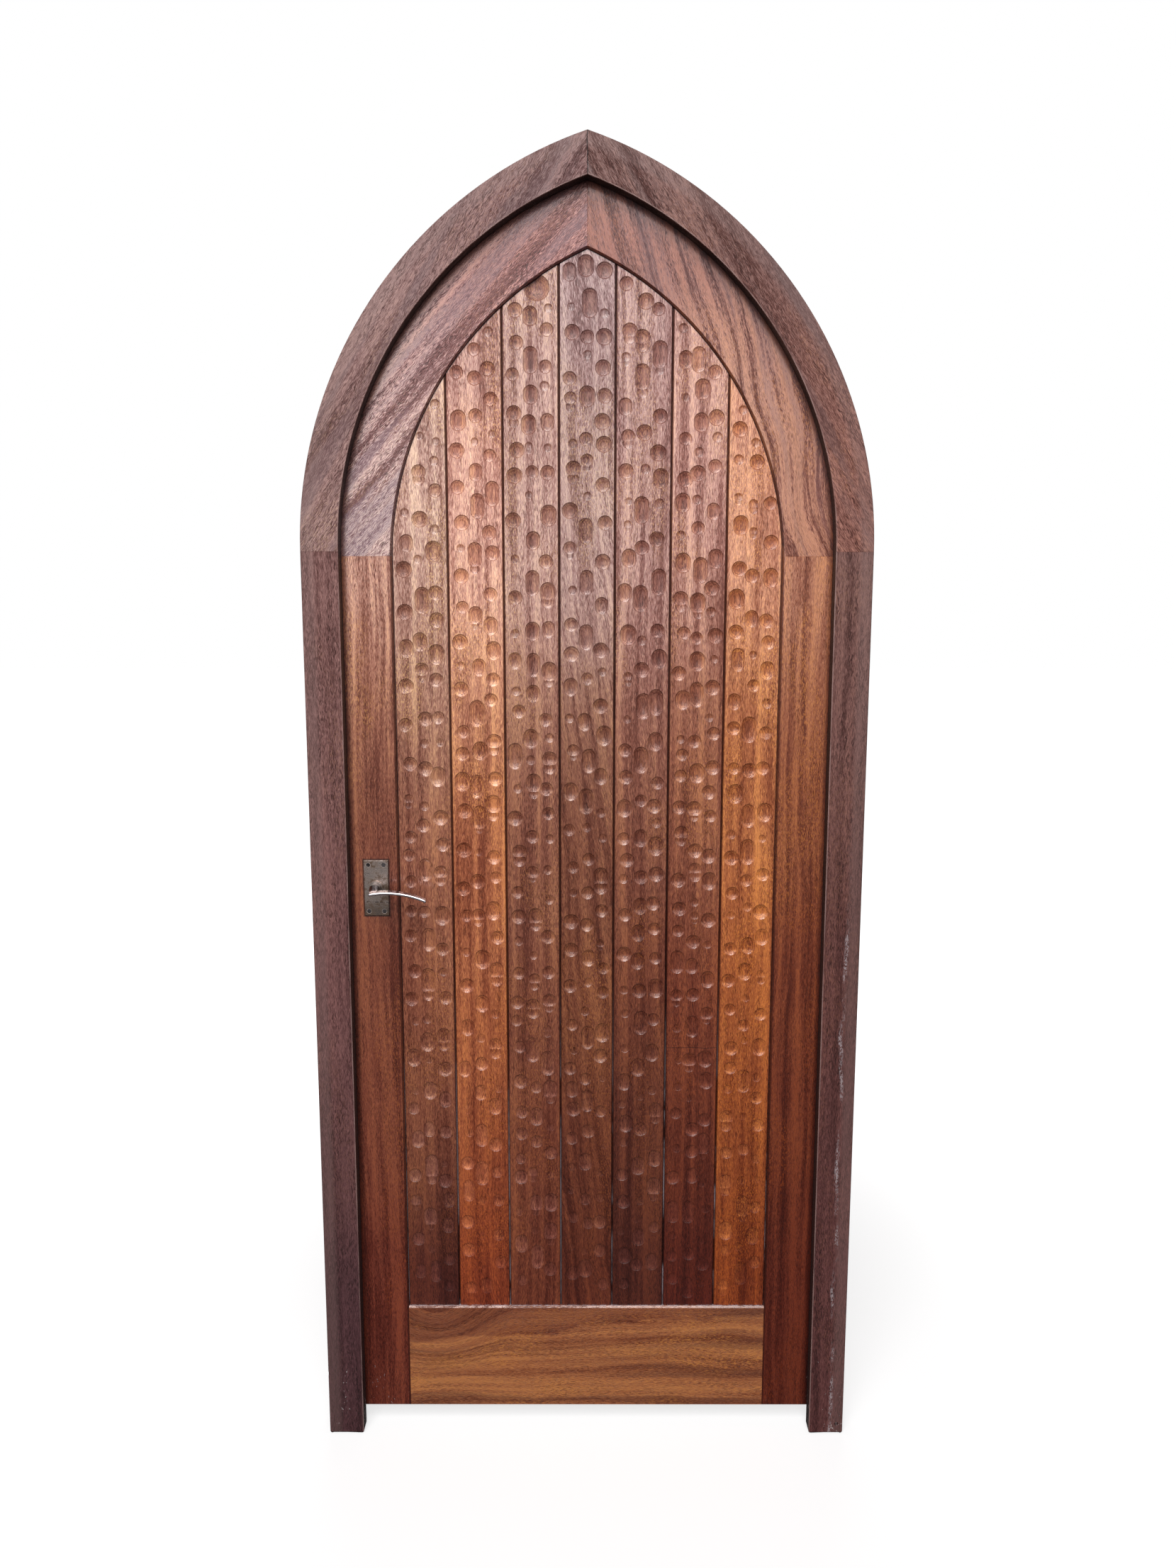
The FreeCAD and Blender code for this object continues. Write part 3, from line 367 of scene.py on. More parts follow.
@cache
def grain_group() -> bpy.types.NodeTree:
    """Hardwood with its grain along Z: broad ribbons, stripes, fibres, open pores and silky bands.

    Returns:
        The node group.
    """
    g, takes, gives = open_group(
        "hardwood_grain",
        {
            "Position": Kind.PLACE,
            **dict.fromkeys(("Dark", "Middle", "Light", "Silk Tint"), Kind.COLOUR),
            **dict.fromkeys((name.title() for name in FIGURE), Kind.VALUE),
        },
        {"Color": Kind.COLOUR, "Dull": Kind.VALUE, "Height": Kind.VALUE},
    )
    place = takes["Position"]
    drift = g.noise(place, (2.4, 2.4, 1.5), 1.0) - 0.5
    ripple = g.noise(place, (16.0, 16.0, 6.0), 1.0) - 0.5
    curl = g.noise(place, (110.0, 110.0, 60.0), 1.0) - 0.5
    sway = (drift + ripple * 0.22) * takes["Wander"]
    place = g.shift(place, sway + curl * 0.0013 * takes["Curl"])

    ribbon = g.noise(place, (58.0, 60.0, 1.2), 2.0)
    stripe = g.noise(place, (150.0, 1000.0, 7.0), 2.0, 0.6)
    fibre = g.noise(place, (950.0, 950.0, 100.0), 2.0, 0.7)
    patch = g.noise(place, (8.0, 8.0, 2.0), 1.0)
    tone: Fed = 0.5
    for band, strength in ((ribbon, "Ribbon"), (stripe, "Stripe"), (fibre, "Fibre")):
        tone = tone + (band - 0.5) * takes[strength]
    tone = tone + (patch - 0.5) * 0.25
    lower = g.blend(tone.ease(0.0, 0.5), takes["Dark"], takes["Middle"])
    colour = g.blend(tone.ease(0.5, 1.0), lower, takes["Light"])

    fleck = g.noise(place, (620.0, 620.0, 200.0), 1.0).ease(0.50, 0.80)
    figured = g.noise(place, (15.0, 15.0, 5.0), 1.0).ease(0.40, 0.75)
    golden = g.vector("MULTIPLY", takes["Light"], (1.15, 1.20, 0.88))
    colour = g.blend(fleck * figured * takes["Mottle"], colour, golden)

    silk = g.noise(place, (32.0, 32.0, 1.8), 1.0).ease(0.55, 0.78) * takes["Silk"]
    silk = silk * fibre.ease(0.75, 0.35, 0.60, 1.0)
    colour = g.blend(silk, colour, takes["Silk Tint"])

    dash = g.noise(place, (900.0, 900.0, 110.0), 1.0).ease(0.55, 0.85)
    crowd = g.noise(place, (60.0, 60.0, 7.0), 1.0).ease(0.15, 0.75, 0.35, 1.0)
    pore = dash * crowd * (1.0 - silk)
    g.feed(gives["Color"], g.blend(pore * takes["Pores"], colour, (0.30, 0.22, 0.20), "MULTIPLY"))
    rough = tone.ease(0.70, 0.15) + pore * 0.6
    g.feed(gives["Dull"], g.math("SUBTRACT", rough, silk * 0.3, clamp=True))
    g.feed(gives["Height"], fibre * 0.7 - pore)
    return g.tree


@cache
def knot_group() -> bpy.types.NodeTree:
    """How strongly a knot turns the grain round it: 1 at the knot and nothing beyond its reach.

    Returns:
        The node group.
    """
    g, takes, gives = open_group(
        "grain_round_knot",
        {"Position": Kind.PLACE, "Knot": Kind.PLACE, "Reach": Kind.VALUE},
        {"Pull": Kind.VALUE},
    )
    away = g.vector("SUBTRACT", takes["Position"], takes["Knot"])
    far = g.length(g.vector("MULTIPLY", away, (1.0, 0.0, 1.0)))
    g.feed(gives["Pull"], g.math("DIVIDE", far, takes["Reach"]).ease(1.0, 0.0))
    return g.tree


@cache
def frame_run_group() -> bpy.types.NodeTree:
    """How far a point is from the middle line, square to the run of the frame or of the leaf.

    Returns:
        The node group.
    """
    g, takes, gives = open_group("frame_run", {"Position": Kind.PLACE}, {"Across": Kind.VALUE})
    x, _, z = g.split(takes["Position"])
    span = g.span(abs(x) + LAYOUT.reach, (z - LAYOUT.spring) | 0.0)
    g.feed(gives["Across"], span - LAYOUT.reach)
    return g.tree


@cache
def panel_inset_group() -> bpy.types.NodeTree:
    """How far a point lies inside the arched edge of the boarded panel.

    Returns:
        The node group.
    """
    g, takes, gives = open_group("panel_inset", {"Position": Kind.PLACE}, {"Inset": Kind.VALUE})
    x, _, z = g.split(takes["Position"])
    side, rise = abs(x), z - LAYOUT.panel_spring
    arched = LAYOUT.panel_radius - g.span(side + LAYOUT.panel_reach, rise)
    above = g.math("GREATER_THAN", rise, 0.0)
    g.feed(gives["Inset"], above.between(LAYOUT.panel_half - side, arched))
    return g.tree


@cache
def height_tone_group() -> bpy.types.NodeTree:
    """Wood that is darker towards its foot, paled and blued below its apex by a painted sheen, and
    changed again towards the top.

    Returns:
        The node group.
    """
    tones = {name.title(): Kind.COLOUR for name in TONES}
    g, takes, gives = open_group(
        "damp_foot_sunned_crown",
        {"Position": Kind.PLACE, "Color": Kind.COLOUR, **tones},
        {"Color": Kind.COLOUR},
    )
    cloud = g.noise(takes["Position"], (3.0, 3.0, 2.2), 2.0) - 0.5
    level = g.split(takes["Position"])[2] + cloud * 0.35
    colour = takes["Color"]
    for name, (start, end) in TONES.items():
        colour = g.blend(level.ease(start, end), colour, takes[name.title()], "MULTIPLY")
    g.feed(gives["Color"], colour)
    return g.tree


@cache
def fleck_group() -> bpy.types.NodeTree:
    """Small pale flecks and scuffs, thicker where the input says so.

    Returns:
        The node group.
    """
    g, takes, gives = open_group(
        "pale_flecks", {"Position": Kind.PLACE, "Amount": Kind.VALUE}, {"Mask": Kind.VALUE}
    )
    speck = g.noise(takes["Position"], (260.0, 260.0, 120.0), 2.0, 0.7)
    crowd = g.noise(takes["Position"], (24.0, 24.0, 9.0), 1.0)
    level = speck * 0.7 + crowd * 0.3
    edge = 1.02 - takes["Amount"] * 0.42
    g.feed(gives["Mask"], g.math("MULTIPLY", level - edge, 9.0, clamp=True))
    return g.tree


@cache
def dust_group() -> bpy.types.NodeTree:
    """Dust that has settled on a ledge.

    Returns:
        The node group.
    """
    g, takes, gives = open_group(
        "settled_dust",
        {"Position": Kind.PLACE, "Normal": Kind.PLACE, "Amount": Kind.VALUE},
        {"Mask": Kind.VALUE},
    )
    lies = g.split(takes["Normal"])[2].ease(0.80, 0.95)
    cover = g.noise(takes["Position"], (90.0, 200.0, 60.0), 3.0, 0.6)
    g.feed(gives["Mask"], lies * cover.ease(0.2, 0.7, 0.15, 1.0) * takes["Amount"])
    return g.tree


@cache
def patina_group() -> bpy.types.NodeTree:
    """Cloudy tarnish on old metal, with fine scratches.

    Returns:
        The node group.
    """
    g, takes, gives = open_group(
        "tarnish",
        {"Position": Kind.PLACE, "Bare": Kind.COLOUR, "Aged": Kind.COLOUR, "Spread": Kind.VALUE},
        {"Color": Kind.COLOUR, "Dull": Kind.VALUE, "Height": Kind.VALUE},
    )
    place = takes["Position"]
    cloud = g.noise(place, (55.0, 55.0, 85.0), 3.0, 0.6)
    speck = g.noise(place, (420.0, 420.0, 420.0), 2.0, 0.6)
    scratch = g.noise(place, (1500.0, 900.0, 90.0), 1.0).ease(0.72, 0.95)
    aged = (cloud * 0.75 + speck * 0.25).ease(0.25, 0.8) * takes["Spread"]
    g.feed(gives["Color"], g.blend(aged, takes["Bare"], takes["Aged"]))
    g.feed(gives["Dull"], aged * 0.8 + scratch * 0.2)
    g.feed(gives["Height"], speck - scratch)
    return g.tree


# ---------------------------------------------------------------- finishes


@dataclass(frozen=True)
class Gloss:
    """How a finish reflects.

    Attributes:
        smooth: Roughness where the surface shines most.
        dull: Roughness where it shines least.
        relief: Depth of its grain.
        specular: Specular level of the surface itself.
        full_coat: How much clear varnish lies where it shines most.
        thin_coat: How much lies where it shines least.
        coat_roughness: Roughness of that varnish.
        coat_ior: How strongly that varnish bends light.
    """

    smooth: float
    dull: float
    relief: float
    specular: float = 0.5
    full_coat: float = 0.0
    thin_coat: float = 0.0
    coat_roughness: float = 0.3
    coat_ior: float = 1.62


class Varnish(Enum):
    """How the wood of the door is varnished."""

    SATIN = Gloss(0.36, 0.46, 0.00040, 0.35, 0.9, 0.1, 0.20)
    WORN = Gloss(0.50, 0.70, 0.00040, 0.30, 0.3, 0.0, 0.45)


@dataclass
class Surface:
    """A finish while its wear is laid on.

    Attributes:
        graph: The material's graph.
        place: The position on the piece.
        colour: The colour so far.
        dull: Where it is smooth, 0, and where dull, 1, so far.
        height: The fine relief so far.
        gloss: How it reflects.
    """

    graph: Graph
    place: Signal
    colour: Signal
    dull: Signal
    height: Signal
    gloss: Gloss

    def stain(self, mask: Signal, tint: Tint) -> None:
        """Multiplies the colour by a tint, as far as a mask says."""
        self.colour = self.graph.blend(mask, self.colour, tint, "MULTIPLY")

    def cover(self, mask: Signal, tint: Tint) -> None:
        """Lays another colour over it, as far as a mask says."""
        self.colour = self.graph.blend(mask, self.colour, tint)

    def noise(self, turns: Place, detail: float = 2.0, rough: float = 0.5) -> Signal:
        """Soft random variation at the position on the piece."""
        return self.graph.noise(self.place, turns, detail, rough)

    def stray(
        self, reach: float, turns: Place, detail: float = 2.0, rough: float = 0.5
    ) -> Signal:
        """How far a line strays from its course, up to half of its reach to either side."""
        return (self.noise(turns, detail, rough) - 0.5) * reach

    def read(self, tree: bpy.types.NodeTree, **fed: Fed) -> Signal:
        """What a shared node group gives first at the position on the piece."""
        return next(iter(self.graph.group(tree, {"Position": self.place, **fed}).values()))


@dataclass(frozen=True)
class Finish:
    """What every finish of the door has.

    Attributes:
        name: The material's name.
    """

    name: str
    METALLIC: ClassVar[float] = 0.0

    def surface(self, graph: Graph, place: Signal) -> Surface:
        """Lays the finish as it is without wear; each kind of finish does this its own way."""
        raise NotImplementedError

    def wear(self, surface: Surface) -> None:
        """Leaves the surface as it is; a finish with wear of its own changes this."""

    def material(self) -> bpy.types.Material:
        """Builds the material.

        Returns:
            The material.
        """
        material = bpy.data.materials.new(self.name)
        material.use_nodes = True
        graph = Graph(material.node_tree)
        shader = graph.node("BsdfPrincipled", {"Metallic": self.METALLIC})
        graph.node("OutputMaterial", {0: shader.outputs[0]})
        surface = self.surface(graph, graph.take("TexCoord", output="Object"))
        self.wear(surface)
        gloss, dull = surface.gloss, surface.dull
        bump = {"Height": surface.height, "Distance": gloss.relief, "Strength": 1.0}
        fed = {
            "Base Color": surface.colour,
            "Roughness": dull.between(gloss.smooth, gloss.dull),
            "Specular IOR Level": gloss.specular,
            "Normal": graph.take("Bump", bump),
        }
        if gloss.full_coat > 0:
            fed["Coat Weight"] = dull.between(gloss.full_coat, gloss.thin_coat)
            fed["Coat Roughness"], fed["Coat IOR"] = gloss.coat_roughness, gloss.coat_ior
        for name, value in fed.items():
            graph.feed(shader.inputs[name], value)
        return material


@dataclass(frozen=True)
class Knot:
    """A knot that the grain runs round.

    Attributes:
        x: Sideways place of its middle.
        z: Height of its middle.
        reach: How far round it the grain is turned.
        pull: How far the grain is moved at its middle.
    """

    x: float
    z: float
    reach: float
    pull: float


@dataclass(frozen=True)
class WoodFinish(Finish):
    """Varnished hardwood of one piece.

    Attributes:
        middle: The wood's usual colour.
        cut: Where in the log the piece was cut.
        dark: How much darker its dark grain is.
        light: How much lighter its light grain is.
        lean: Degrees that the grain leans to the right of upright.
        wander: How far the grain strays sideways.
        curl: How curly its fibres are.
        ribbon: Strength of the broad bands.
        stripe: Strength of the narrow stripes.
        fibre: Strength of the fibres.
        mottle: Strength of the short golden flecks.
        pores: Darkness of the pores.
        silk: Strength of the smooth pale bands.
        silk_tint: Colour of those bands.
        foot: How the colour changes towards the foot of the door.
        crown: Painted sheen: how it pales towards the spring of the arch.
        bloom: Painted sheen: how it pales further about the spring and above.
        apex: How it changes from there to the top.
        knot: A knot in or beside the piece, if it has one.
        varnish: How the piece is varnished.
    """

    middle: Tint
    cut: Place
    dark: Tint = (0.44, 0.32, 0.30)
    light: Tint = (1.70, 2.05, 1.75)
    lean: float = 0.0
    wander: float = 0.012
    curl: float = 1.0
    ribbon: float = 1.0
    stripe: float = 0.4
    fibre: float = 1.1
    mottle: float = 0.55
    pores: float = 0.6
    silk: float = 0.0
    silk_tint: Tint = (0.20, 0.12, 0.13)
    foot: Tint = (0.80, 0.72, 0.75)
    crown: Tint = (1.08, 1.12, 1.15)
    bloom: Tint = PLAIN
    apex: Tint = (0.76, 0.70, 0.72)
    knot: Knot | None = None
    varnish: Varnish = Varnish.SATIN

    def tinted(self, share: Tint) -> Tint:
        """The middle colour times a share for each of red, green and blue."""
        return tuple(a * b for a, b in zip(self.middle, share))

    def surface(self, graph: Graph, place: Signal) -> Surface:
        """Lays the grain and the tones of its height.

        Args:
            graph: The material's graph.
            place: The position on the piece.

        Returns:
            The wood without wear.
        """
        turn = {"Vector": place, "Location": self.cut, "Rotation": (0.0, -radians(self.lean), 0.0)}
        turned = graph.take("Mapping", turn)
        if knot := self.knot:
            fed = {"Position": place, "Knot": (knot.x, 0.0, knot.z), "Reach": knot.reach}
            turned = graph.shift(turned, graph.group(knot_group(), fed)["Pull"] * knot.pull)
        grain = graph.group(
            grain_group(),
            {
                "Position": turned,
                "Dark": self.tinted(self.dark),
                "Middle": self.middle,
                "Light": self.tinted(self.light),
                "Silk Tint": self.silk_tint,
                **{name.title(): getattr(self, name) for name in FIGURE},
            },
        )
        tones = {name.title(): getattr(self, name) for name in TONES}
        fed = {"Position": place, "Color": grain["Color"], **tones}
        colour = graph.group(height_tone_group(), fed)["Color"]
        gloss = self.varnish.value
        return Surface(graph, place, colour, grain["Dull"], grain["Height"], gloss)


@dataclass(frozen=True)
class BoardFinish(WoodFinish):
    """A scooped board: painted shade darkens its scoops, a painted highlight and sheen light them
    lower down, and its joints are dark and hold a little dust.

    Attributes:
        stands: Sideways place of the board's middle.
        dusty: How much dust its joints hold.
        crack: Height of a fine crack across it, if it has one.
    """

    stands: float = 0.0
    dusty: float = 0.45
    crack: float | None = None

    def wear(self, surface: Surface) -> None:
        """Paints shade, a highlight and a pale sheen into the scoops, darkens the joints and dusts
        their lower half.

        Args:
            surface: The board's surface.
        """
        x, y, z = surface.graph.split(surface.place)
        below = y - LAYOUT.board_front
        deep = below.ease(0.0002, 0.0030)
        high_up = z.ease(1.1, 1.8)
        # painted shade: the scoops are darker and richer than the flat face, more so higher up
        surface.stain(deep * high_up.between(0.18, 0.60), (0.70, 0.55, 0.49))
        sway = surface.noise((45.0, 45.0, 14.0), 2.0, 0.6) * 10.0
        layers = surface.graph.math("SINE", y * GROWTH_LAYERS + sway)
        surface.stain(layers.ease(0.0, 0.9) * deep * 0.55, (0.52, 0.42, 0.40))
        # painted shade round the rim of each scoop, more so higher up
        rim = below.ease(0.0001, 0.0004) * below.ease(0.0014, 0.0006)
        surface.stain(rim * high_up.between(0.25, 0.65), (0.45, 0.34, 0.32))
        surface.dull |= deep * high_up.between(0.28, 0.95)
        surface.dull |= z.ease(0.95, 0.35, 0.0, 0.55)

        # painted highlight: the up-facing lower halves of the scoops are lightened, low down and
        # more weakly up to the spring
        rising = surface.graph.split(surface.graph.take("TexCoord", output="Normal"))[2]
        gleam_band = z.ease(1.25, 0.55, 0.0, 0.9) | z.ease(1.80, 1.45, 0.0, 0.45)
        inside = below.ease(0.0002, 0.0010)
        surface.stain(rising.ease(-0.04, 0.30) * gleam_band * inside, (1.75, 2.2, 2.5))
        # painted pale sheen over the whole of each scoop towards the foot
        surface.stain(inside * z.ease(0.95, 0.45, 0.0, 0.9), (1.25, 1.50, 2.00))

        off = abs(x - self.stands)
        half = LAYOUT.board_cover / 2
        inset = surface.read(panel_inset_group())
        joint = off.ease(half - 0.0030, half - 0.0015) | inset.ease(0.0022, 0.0006)
        surface.stain(joint * 0.88, (0.14, 0.08, 0.08))
        if self.crack:
            off_crack = abs(z + surface.stray(0.003, (25.0, 25.0, 8.0)) - self.crack)
            surface.stain(off_crack.ease(0.0012, 0.0003, 0.0, 0.7), (0.2, 0.12, 0.12))
        settled = off.ease(half - 0.0013, half - 0.0006) | inset.ease(0.0014, 0.0006)
        patchy = surface.noise((30.0, 30.0, 7.0), 3.0, 0.7).ease(0.35, 0.65)
        surface.cover(settled * z.ease(1.00, 0.45) * patchy * self.dusty, (0.56, 0.49, 0.53))
        surface.dull |= joint


@dataclass(frozen=True)
class LeafFinish(WoodFinish):
    """A stile or head of the leaf: painted shade darkens the chamfer round the panel, and a painted
    shadow the edge by the frame.

    Attributes:
        plate: Middle and half size of a backplate with a painted shadow round it, if the piece has
            one.
    """

    plate: tuple[tuple[float, float], tuple[float, float]] | None = None

    def wear(self, surface: Surface) -> None:
        """Paints shade on the chamfer round the panel, a shadow round the backplate and along the
        strip beside the frame, and scuffs the foot.

        Args:
            surface: The piece's surface.
        """
        x, _, z = surface.graph.split(surface.place)
        # painted shade on the chamfer round the panel
        slope_shade = surface.read(panel_inset_group()).ease(-0.0040, -0.0026)
        surface.stain(slope_shade * 0.8, (0.25, 0.18, 0.17))
        if self.plate:
            (middle_x, middle_z), (half_x, half_z) = self.plate
            # painted shadow in a thin line round the backplate
            past = (abs(x - middle_x) - half_x) | (abs(z - middle_z) - half_z)
            surface.stain(past.ease(0.0038, 0.0010, 0.0, 0.8), (0.12, 0.09, 0.09))
        # painted shadow on the strip beside the frame
        frame_shadow = surface.read(frame_run_group()).ease(LAYOUT.clear_half - 0.012, LAYOUT.clear_half)
        surface.stain(frame_shadow * 0.85, (0.28, 0.16, 0.14))
        flecks = surface.read(fleck_group(), Amount=z.ease(0.26, 0.04, 0.0, 0.45))
        surface.cover(flecks, (0.45, 0.38, 0.38))
        surface.dull |= z.ease(1.95, 2.30, 0.0, 0.75) | slope_shade | frame_shadow


@dataclass(frozen=True)
class RailFinish(WoodFinish):
    """The bottom rail: its upper ledge holds dust, and dark heartwood runs out along its top.

    Attributes:
        heart: Height of the heartwood's lower edge at the latch end, and its rise per metre.
    """

    heart: tuple[float, float] = (0.172, 0.10)

    def wear(self, surface: Surface) -> None:
        """Darkens the heartwood and lays dust on the faces that look up.

        Args:
            surface: The rail's surface.
        """
        x, _, z = surface.graph.split(surface.place)
        level, rise = self.heart
        wavy = surface.stray(0.030, (9.0, 9.0, 30.0), 3.0, 0.6)
        above = z + wavy - ((x + LAYOUT.panel_half) * rise + level)
        surface.stain(above.ease(0.0, 0.006, 0.0, 0.8), (0.56, 0.44, 0.50))
        normal = surface.graph.take("TexCoord", output="Normal")
        dust = surface.read(dust_group(), Normal=normal, Amount=0.8)
        surface.cover(dust, (0.52, 0.45, 0.49))
        surface.dull |= dust


@dataclass(frozen=True)
class FrameFinish(WoodFinish):
    """The frame's wood: matt, with a painted highlight on its inner arris, painted shade in its
    reveal and its nicks, and its feet scuffed.

    Attributes:
        residue: Sideways place and top of a pale line that something left on it, if there is one.
    """

    residue: tuple[float, float] | None = None

    def wear(self, surface: Surface) -> None:
        """Adds the painted arris highlight, the painted shade in the reveal and the nicks, the dark
        crown joint, the border and the scuffed foot.

        Args:
            surface: The piece's surface.
        """
        x, y, z = surface.graph.split(surface.place)
        across, below = surface.read(frame_run_group()), y - LAYOUT.frame_front
        outer, inner = LAYOUT.outer_half, LAYOUT.clear_half
        on_front = below.ease(0.0022, 0.0008)
        border = across.ease(outer - 0.030, outer - 0.016) * on_front
        surface.cover(border * 0.35, (0.20, 0.122, 0.112))

        # painted shade in the reveal beside the leaf, lighter behind the stop
        reveal = below.ease(0.0012, 0.0040)
        reveal *= across.ease(LAYOUT.rebate_half + 0.004, LAYOUT.rebate_half)
        shut = y.ease(LAYOUT.stop + 0.001, LAYOUT.stop - 0.002, 0.35, 0.95)
        surface.stain(reveal * shut, (0.06, 0.04, 0.04))
        outside = across.ease(outer - 0.0012, outer - 0.0003)
        surface.stain(outside * 0.35, (0.45, 0.38, 0.36))
        # painted shade inside the nicks
        nick_shade = below.ease(0.0004, 0.0014) * below.ease(0.0080, 0.0060)
        nick_shade *= across.ease(inner + 0.010, inner + 0.012)
        surface.stain(nick_shade * across.ease(outer - 0.0015, outer - 0.0020), (0.25, 0.18, 0.18))

        # painted highlight along the inner arris of the front, broken up in patches
        arris_highlight = across.ease(inner + 0.0024, inner + 0.0006) * on_front
        worn = surface.noise((30.0, 30.0, 14.0), 2.0).ease(0.15, 0.7, 0.25, 0.85)
        surface.cover(arris_highlight * worn, (0.34, 0.22, 0.20))
        if self.residue:
            stands, top = self.residue
            stray = surface.stray(0.010, (9.0, 9.0, 7.0), 3.0, 0.6)
            line = abs(x + stray - stands).ease(0.0055, 0.0005)
            line *= surface.noise((30.0, 30.0, 9.0), 3.0, 0.6).ease(0.28, 0.55)
            line *= z.ease(top, top - 0.3)
            line *= surface.noise((420.0, 420.0, 230.0), 3.0, 0.8).ease(0.42, 0.62)
            surface.cover(line * on_front, (0.40, 0.33, 0.34))
        split = abs(x + surface.stray(0.003, (40.0, 40.0, 40.0)))
        surface.stain(split.ease(0.0016, 0.0004, 0.0, 0.85), (0.10, 0.06, 0.06))
        flecks = surface.read(fleck_group(), Amount=z.ease(0.32, 0.0) * 0.72)
        surface.cover(flecks, (0.55, 0.48, 0.47))
        surface.dull |= outside | flecks


@dataclass(frozen=True)
class MetalFinish(Finish):
    """Metal with tarnish.

    Attributes:
        bare: Colour of the clean metal.
        aged: Colour of its tarnish.
        spread: How much of it is tarnished.
        gloss: How it reflects.
    """

    bare: Tint
    aged: Tint
    spread: float
    gloss: Gloss
    METALLIC: ClassVar[float] = 1.0

    def surface(self, graph: Graph, place: Signal) -> Surface:
        """Lays the metal and its tarnish.

        Args:
            graph: The material's graph.
            place: The position on the piece.

        Returns:
            The metal without wear.
        """
        fed = {"Position": place, "Bare": self.bare, "Aged": self.aged, "Spread": self.spread}
        patina = graph.group(patina_group(), fed)
        return Surface(graph, place, *patina.values(), self.gloss)


@dataclass(frozen=True)
class LeverFinish(MetalFinish):
    """Polished metal with a painted dark reflection round the root of its neck.

    Attributes:
        root: How far from the middle of the leaf the painted dark reflection ends.
        dark_reflection: Colour of that painted reflection.
    """

    root: float
    dark_reflection: Tint = (0.05, 0.055, 0.065)

    def wear(self, surface: Surface) -> None:
        """Paints a dark reflection round the root of the neck."""
        out = abs(surface.graph.split(surface.place)[1])
        surface.cover(out.ease(self.root, self.root - 0.008, 0.0, 0.9), self.dark_reflection)


@dataclass(frozen=True)
class PlateFinish(MetalFinish):
    """Tarnished plate with dark cracks across it, a painted dark reflection over its lower part and
    painted highlight rings round its screws.

    Attributes:
        middle: Where the spindle passes through it: across and up.
        rise: How far above and below that the cracks run.
        screws: How far from its middle the screws are: across and up.
        head: Radius of a screw's head.
    """

    middle: tuple[float, float]
    rise: float
    screws: tuple[float, float]
    head: float

    def wear(self, surface: Surface) -> None:
        """Paints a dark reflection over the plate's lower part, cracks it and paints a highlight
        ring round each screw.

        Args:
            surface: The plate's surface.
        """
        across, _, up = surface.graph.split(surface.place)
        side, level = abs(across - self.middle[0]), up - self.middle[1]
        bend = level + surface.stray(0.012, (60.0, 60.0, 30.0), 2.0, 0.6)
        torn = surface.noise((140.0, 140.0, 90.0), 2.0).ease(0.42, 0.58)
        crack = abs(abs(bend) - self.rise).ease(0.0013, 0.0003) * torn
        # painted dark reflection over the plate's lower part
        surface.cover(level.ease(-0.022, -0.044) * 0.65, self.aged)
        surface.cover(crack * 0.85, (0.03, 0.022, 0.02))
        # painted highlight: a pale ring round each screw's head
        span = surface.graph.span(side - self.screws[0], abs(level) - self.screws[1])
        surface.cover(abs(span - self.head).ease(0.0010, 0.0003), self.bare)
        surface.dull = surface.graph.math("ADD", surface.dull, crack, clamp=True)
        surface.height -= crack


# ---------------------------------------------------------------- working on meshes


class Bits(Enum):
    """What is picked out of a mesh: the name of its list and of its select mode."""

    CORNERS = ("verts", "VERT")
    EDGES = ("edges", "EDGE")


@dataclass(frozen=True)
class Arris:
    """An outer edge of a piece, as a chooser of edges sees it.

    Attributes:
        middle: Its middle point.
        run: Its direction.
        fold: Degrees between the faces that meet there.
        length: Its length.
    """

    middle: Vector
    run: Vector
    fold: float
    length: float

    @classmethod
    def of(cls, edge: Bit) -> "Arris":
        """Reads an edge of a mesh.

        Args:
            edge: The edge.

        Returns:
            What a chooser of edges sees of it.
        """
        start, end = (vertex.co for vertex in edge.verts)
        run, fold = end - start, degrees(edge.calc_face_angle(0.0))
        return cls((start + end) / 2, run.normalized(), fold, run.length)

    @property
    def is_lengthwise(self) -> bool:
        """Whether it runs along a piece and not from its front to its back."""
        return abs(self.run.y) < ALONG

    def is_level_at(self, height: float) -> bool:
        """Whether it lies level at a height."""
        return abs(self.run.z) < LEVEL and abs(self.middle.z - height) < CLOSE

    @property
    def is_in_crown(self) -> bool:
        """Whether it lies in the upright joint under the apex."""
        return abs(self.middle.x) < CLOSE and abs(self.run.x) < LEVEL


def hold(*pieces: bpy.types.Object) -> None:
    """Selects these objects and nothing else.

    Args:
        *pieces: The objects, the active one first.
    """
    bpy.ops.object.select_all(action="DESELECT")
    for piece in pieces:
        piece.select_set(True)
    if pieces:
        bpy.context.view_layer.objects.active = pieces[0]


def place_in_scene(name: str, data: bpy.types.ID) -> bpy.types.Object:
    """Adds an object to the scene.

    Args:
        name: Its name.
        data: Its mesh, lamp or camera.

    Returns:
        The object.
    """
    made = bpy.data.objects.new(name, data)
    bpy.context.scene.collection.objects.link(made)
    return made


@contextmanager
def edit_mode(piece: bpy.types.Object) -> Iterator[None]:
    """Opens an object in edit mode and closes it again.

    Args:
        piece: The object.

    Yields:
        Nothing.
    """
    hold(piece)
    bpy.ops.object.mode_set(mode="EDIT")
    yield
    bpy.ops.object.mode_set(mode="OBJECT")


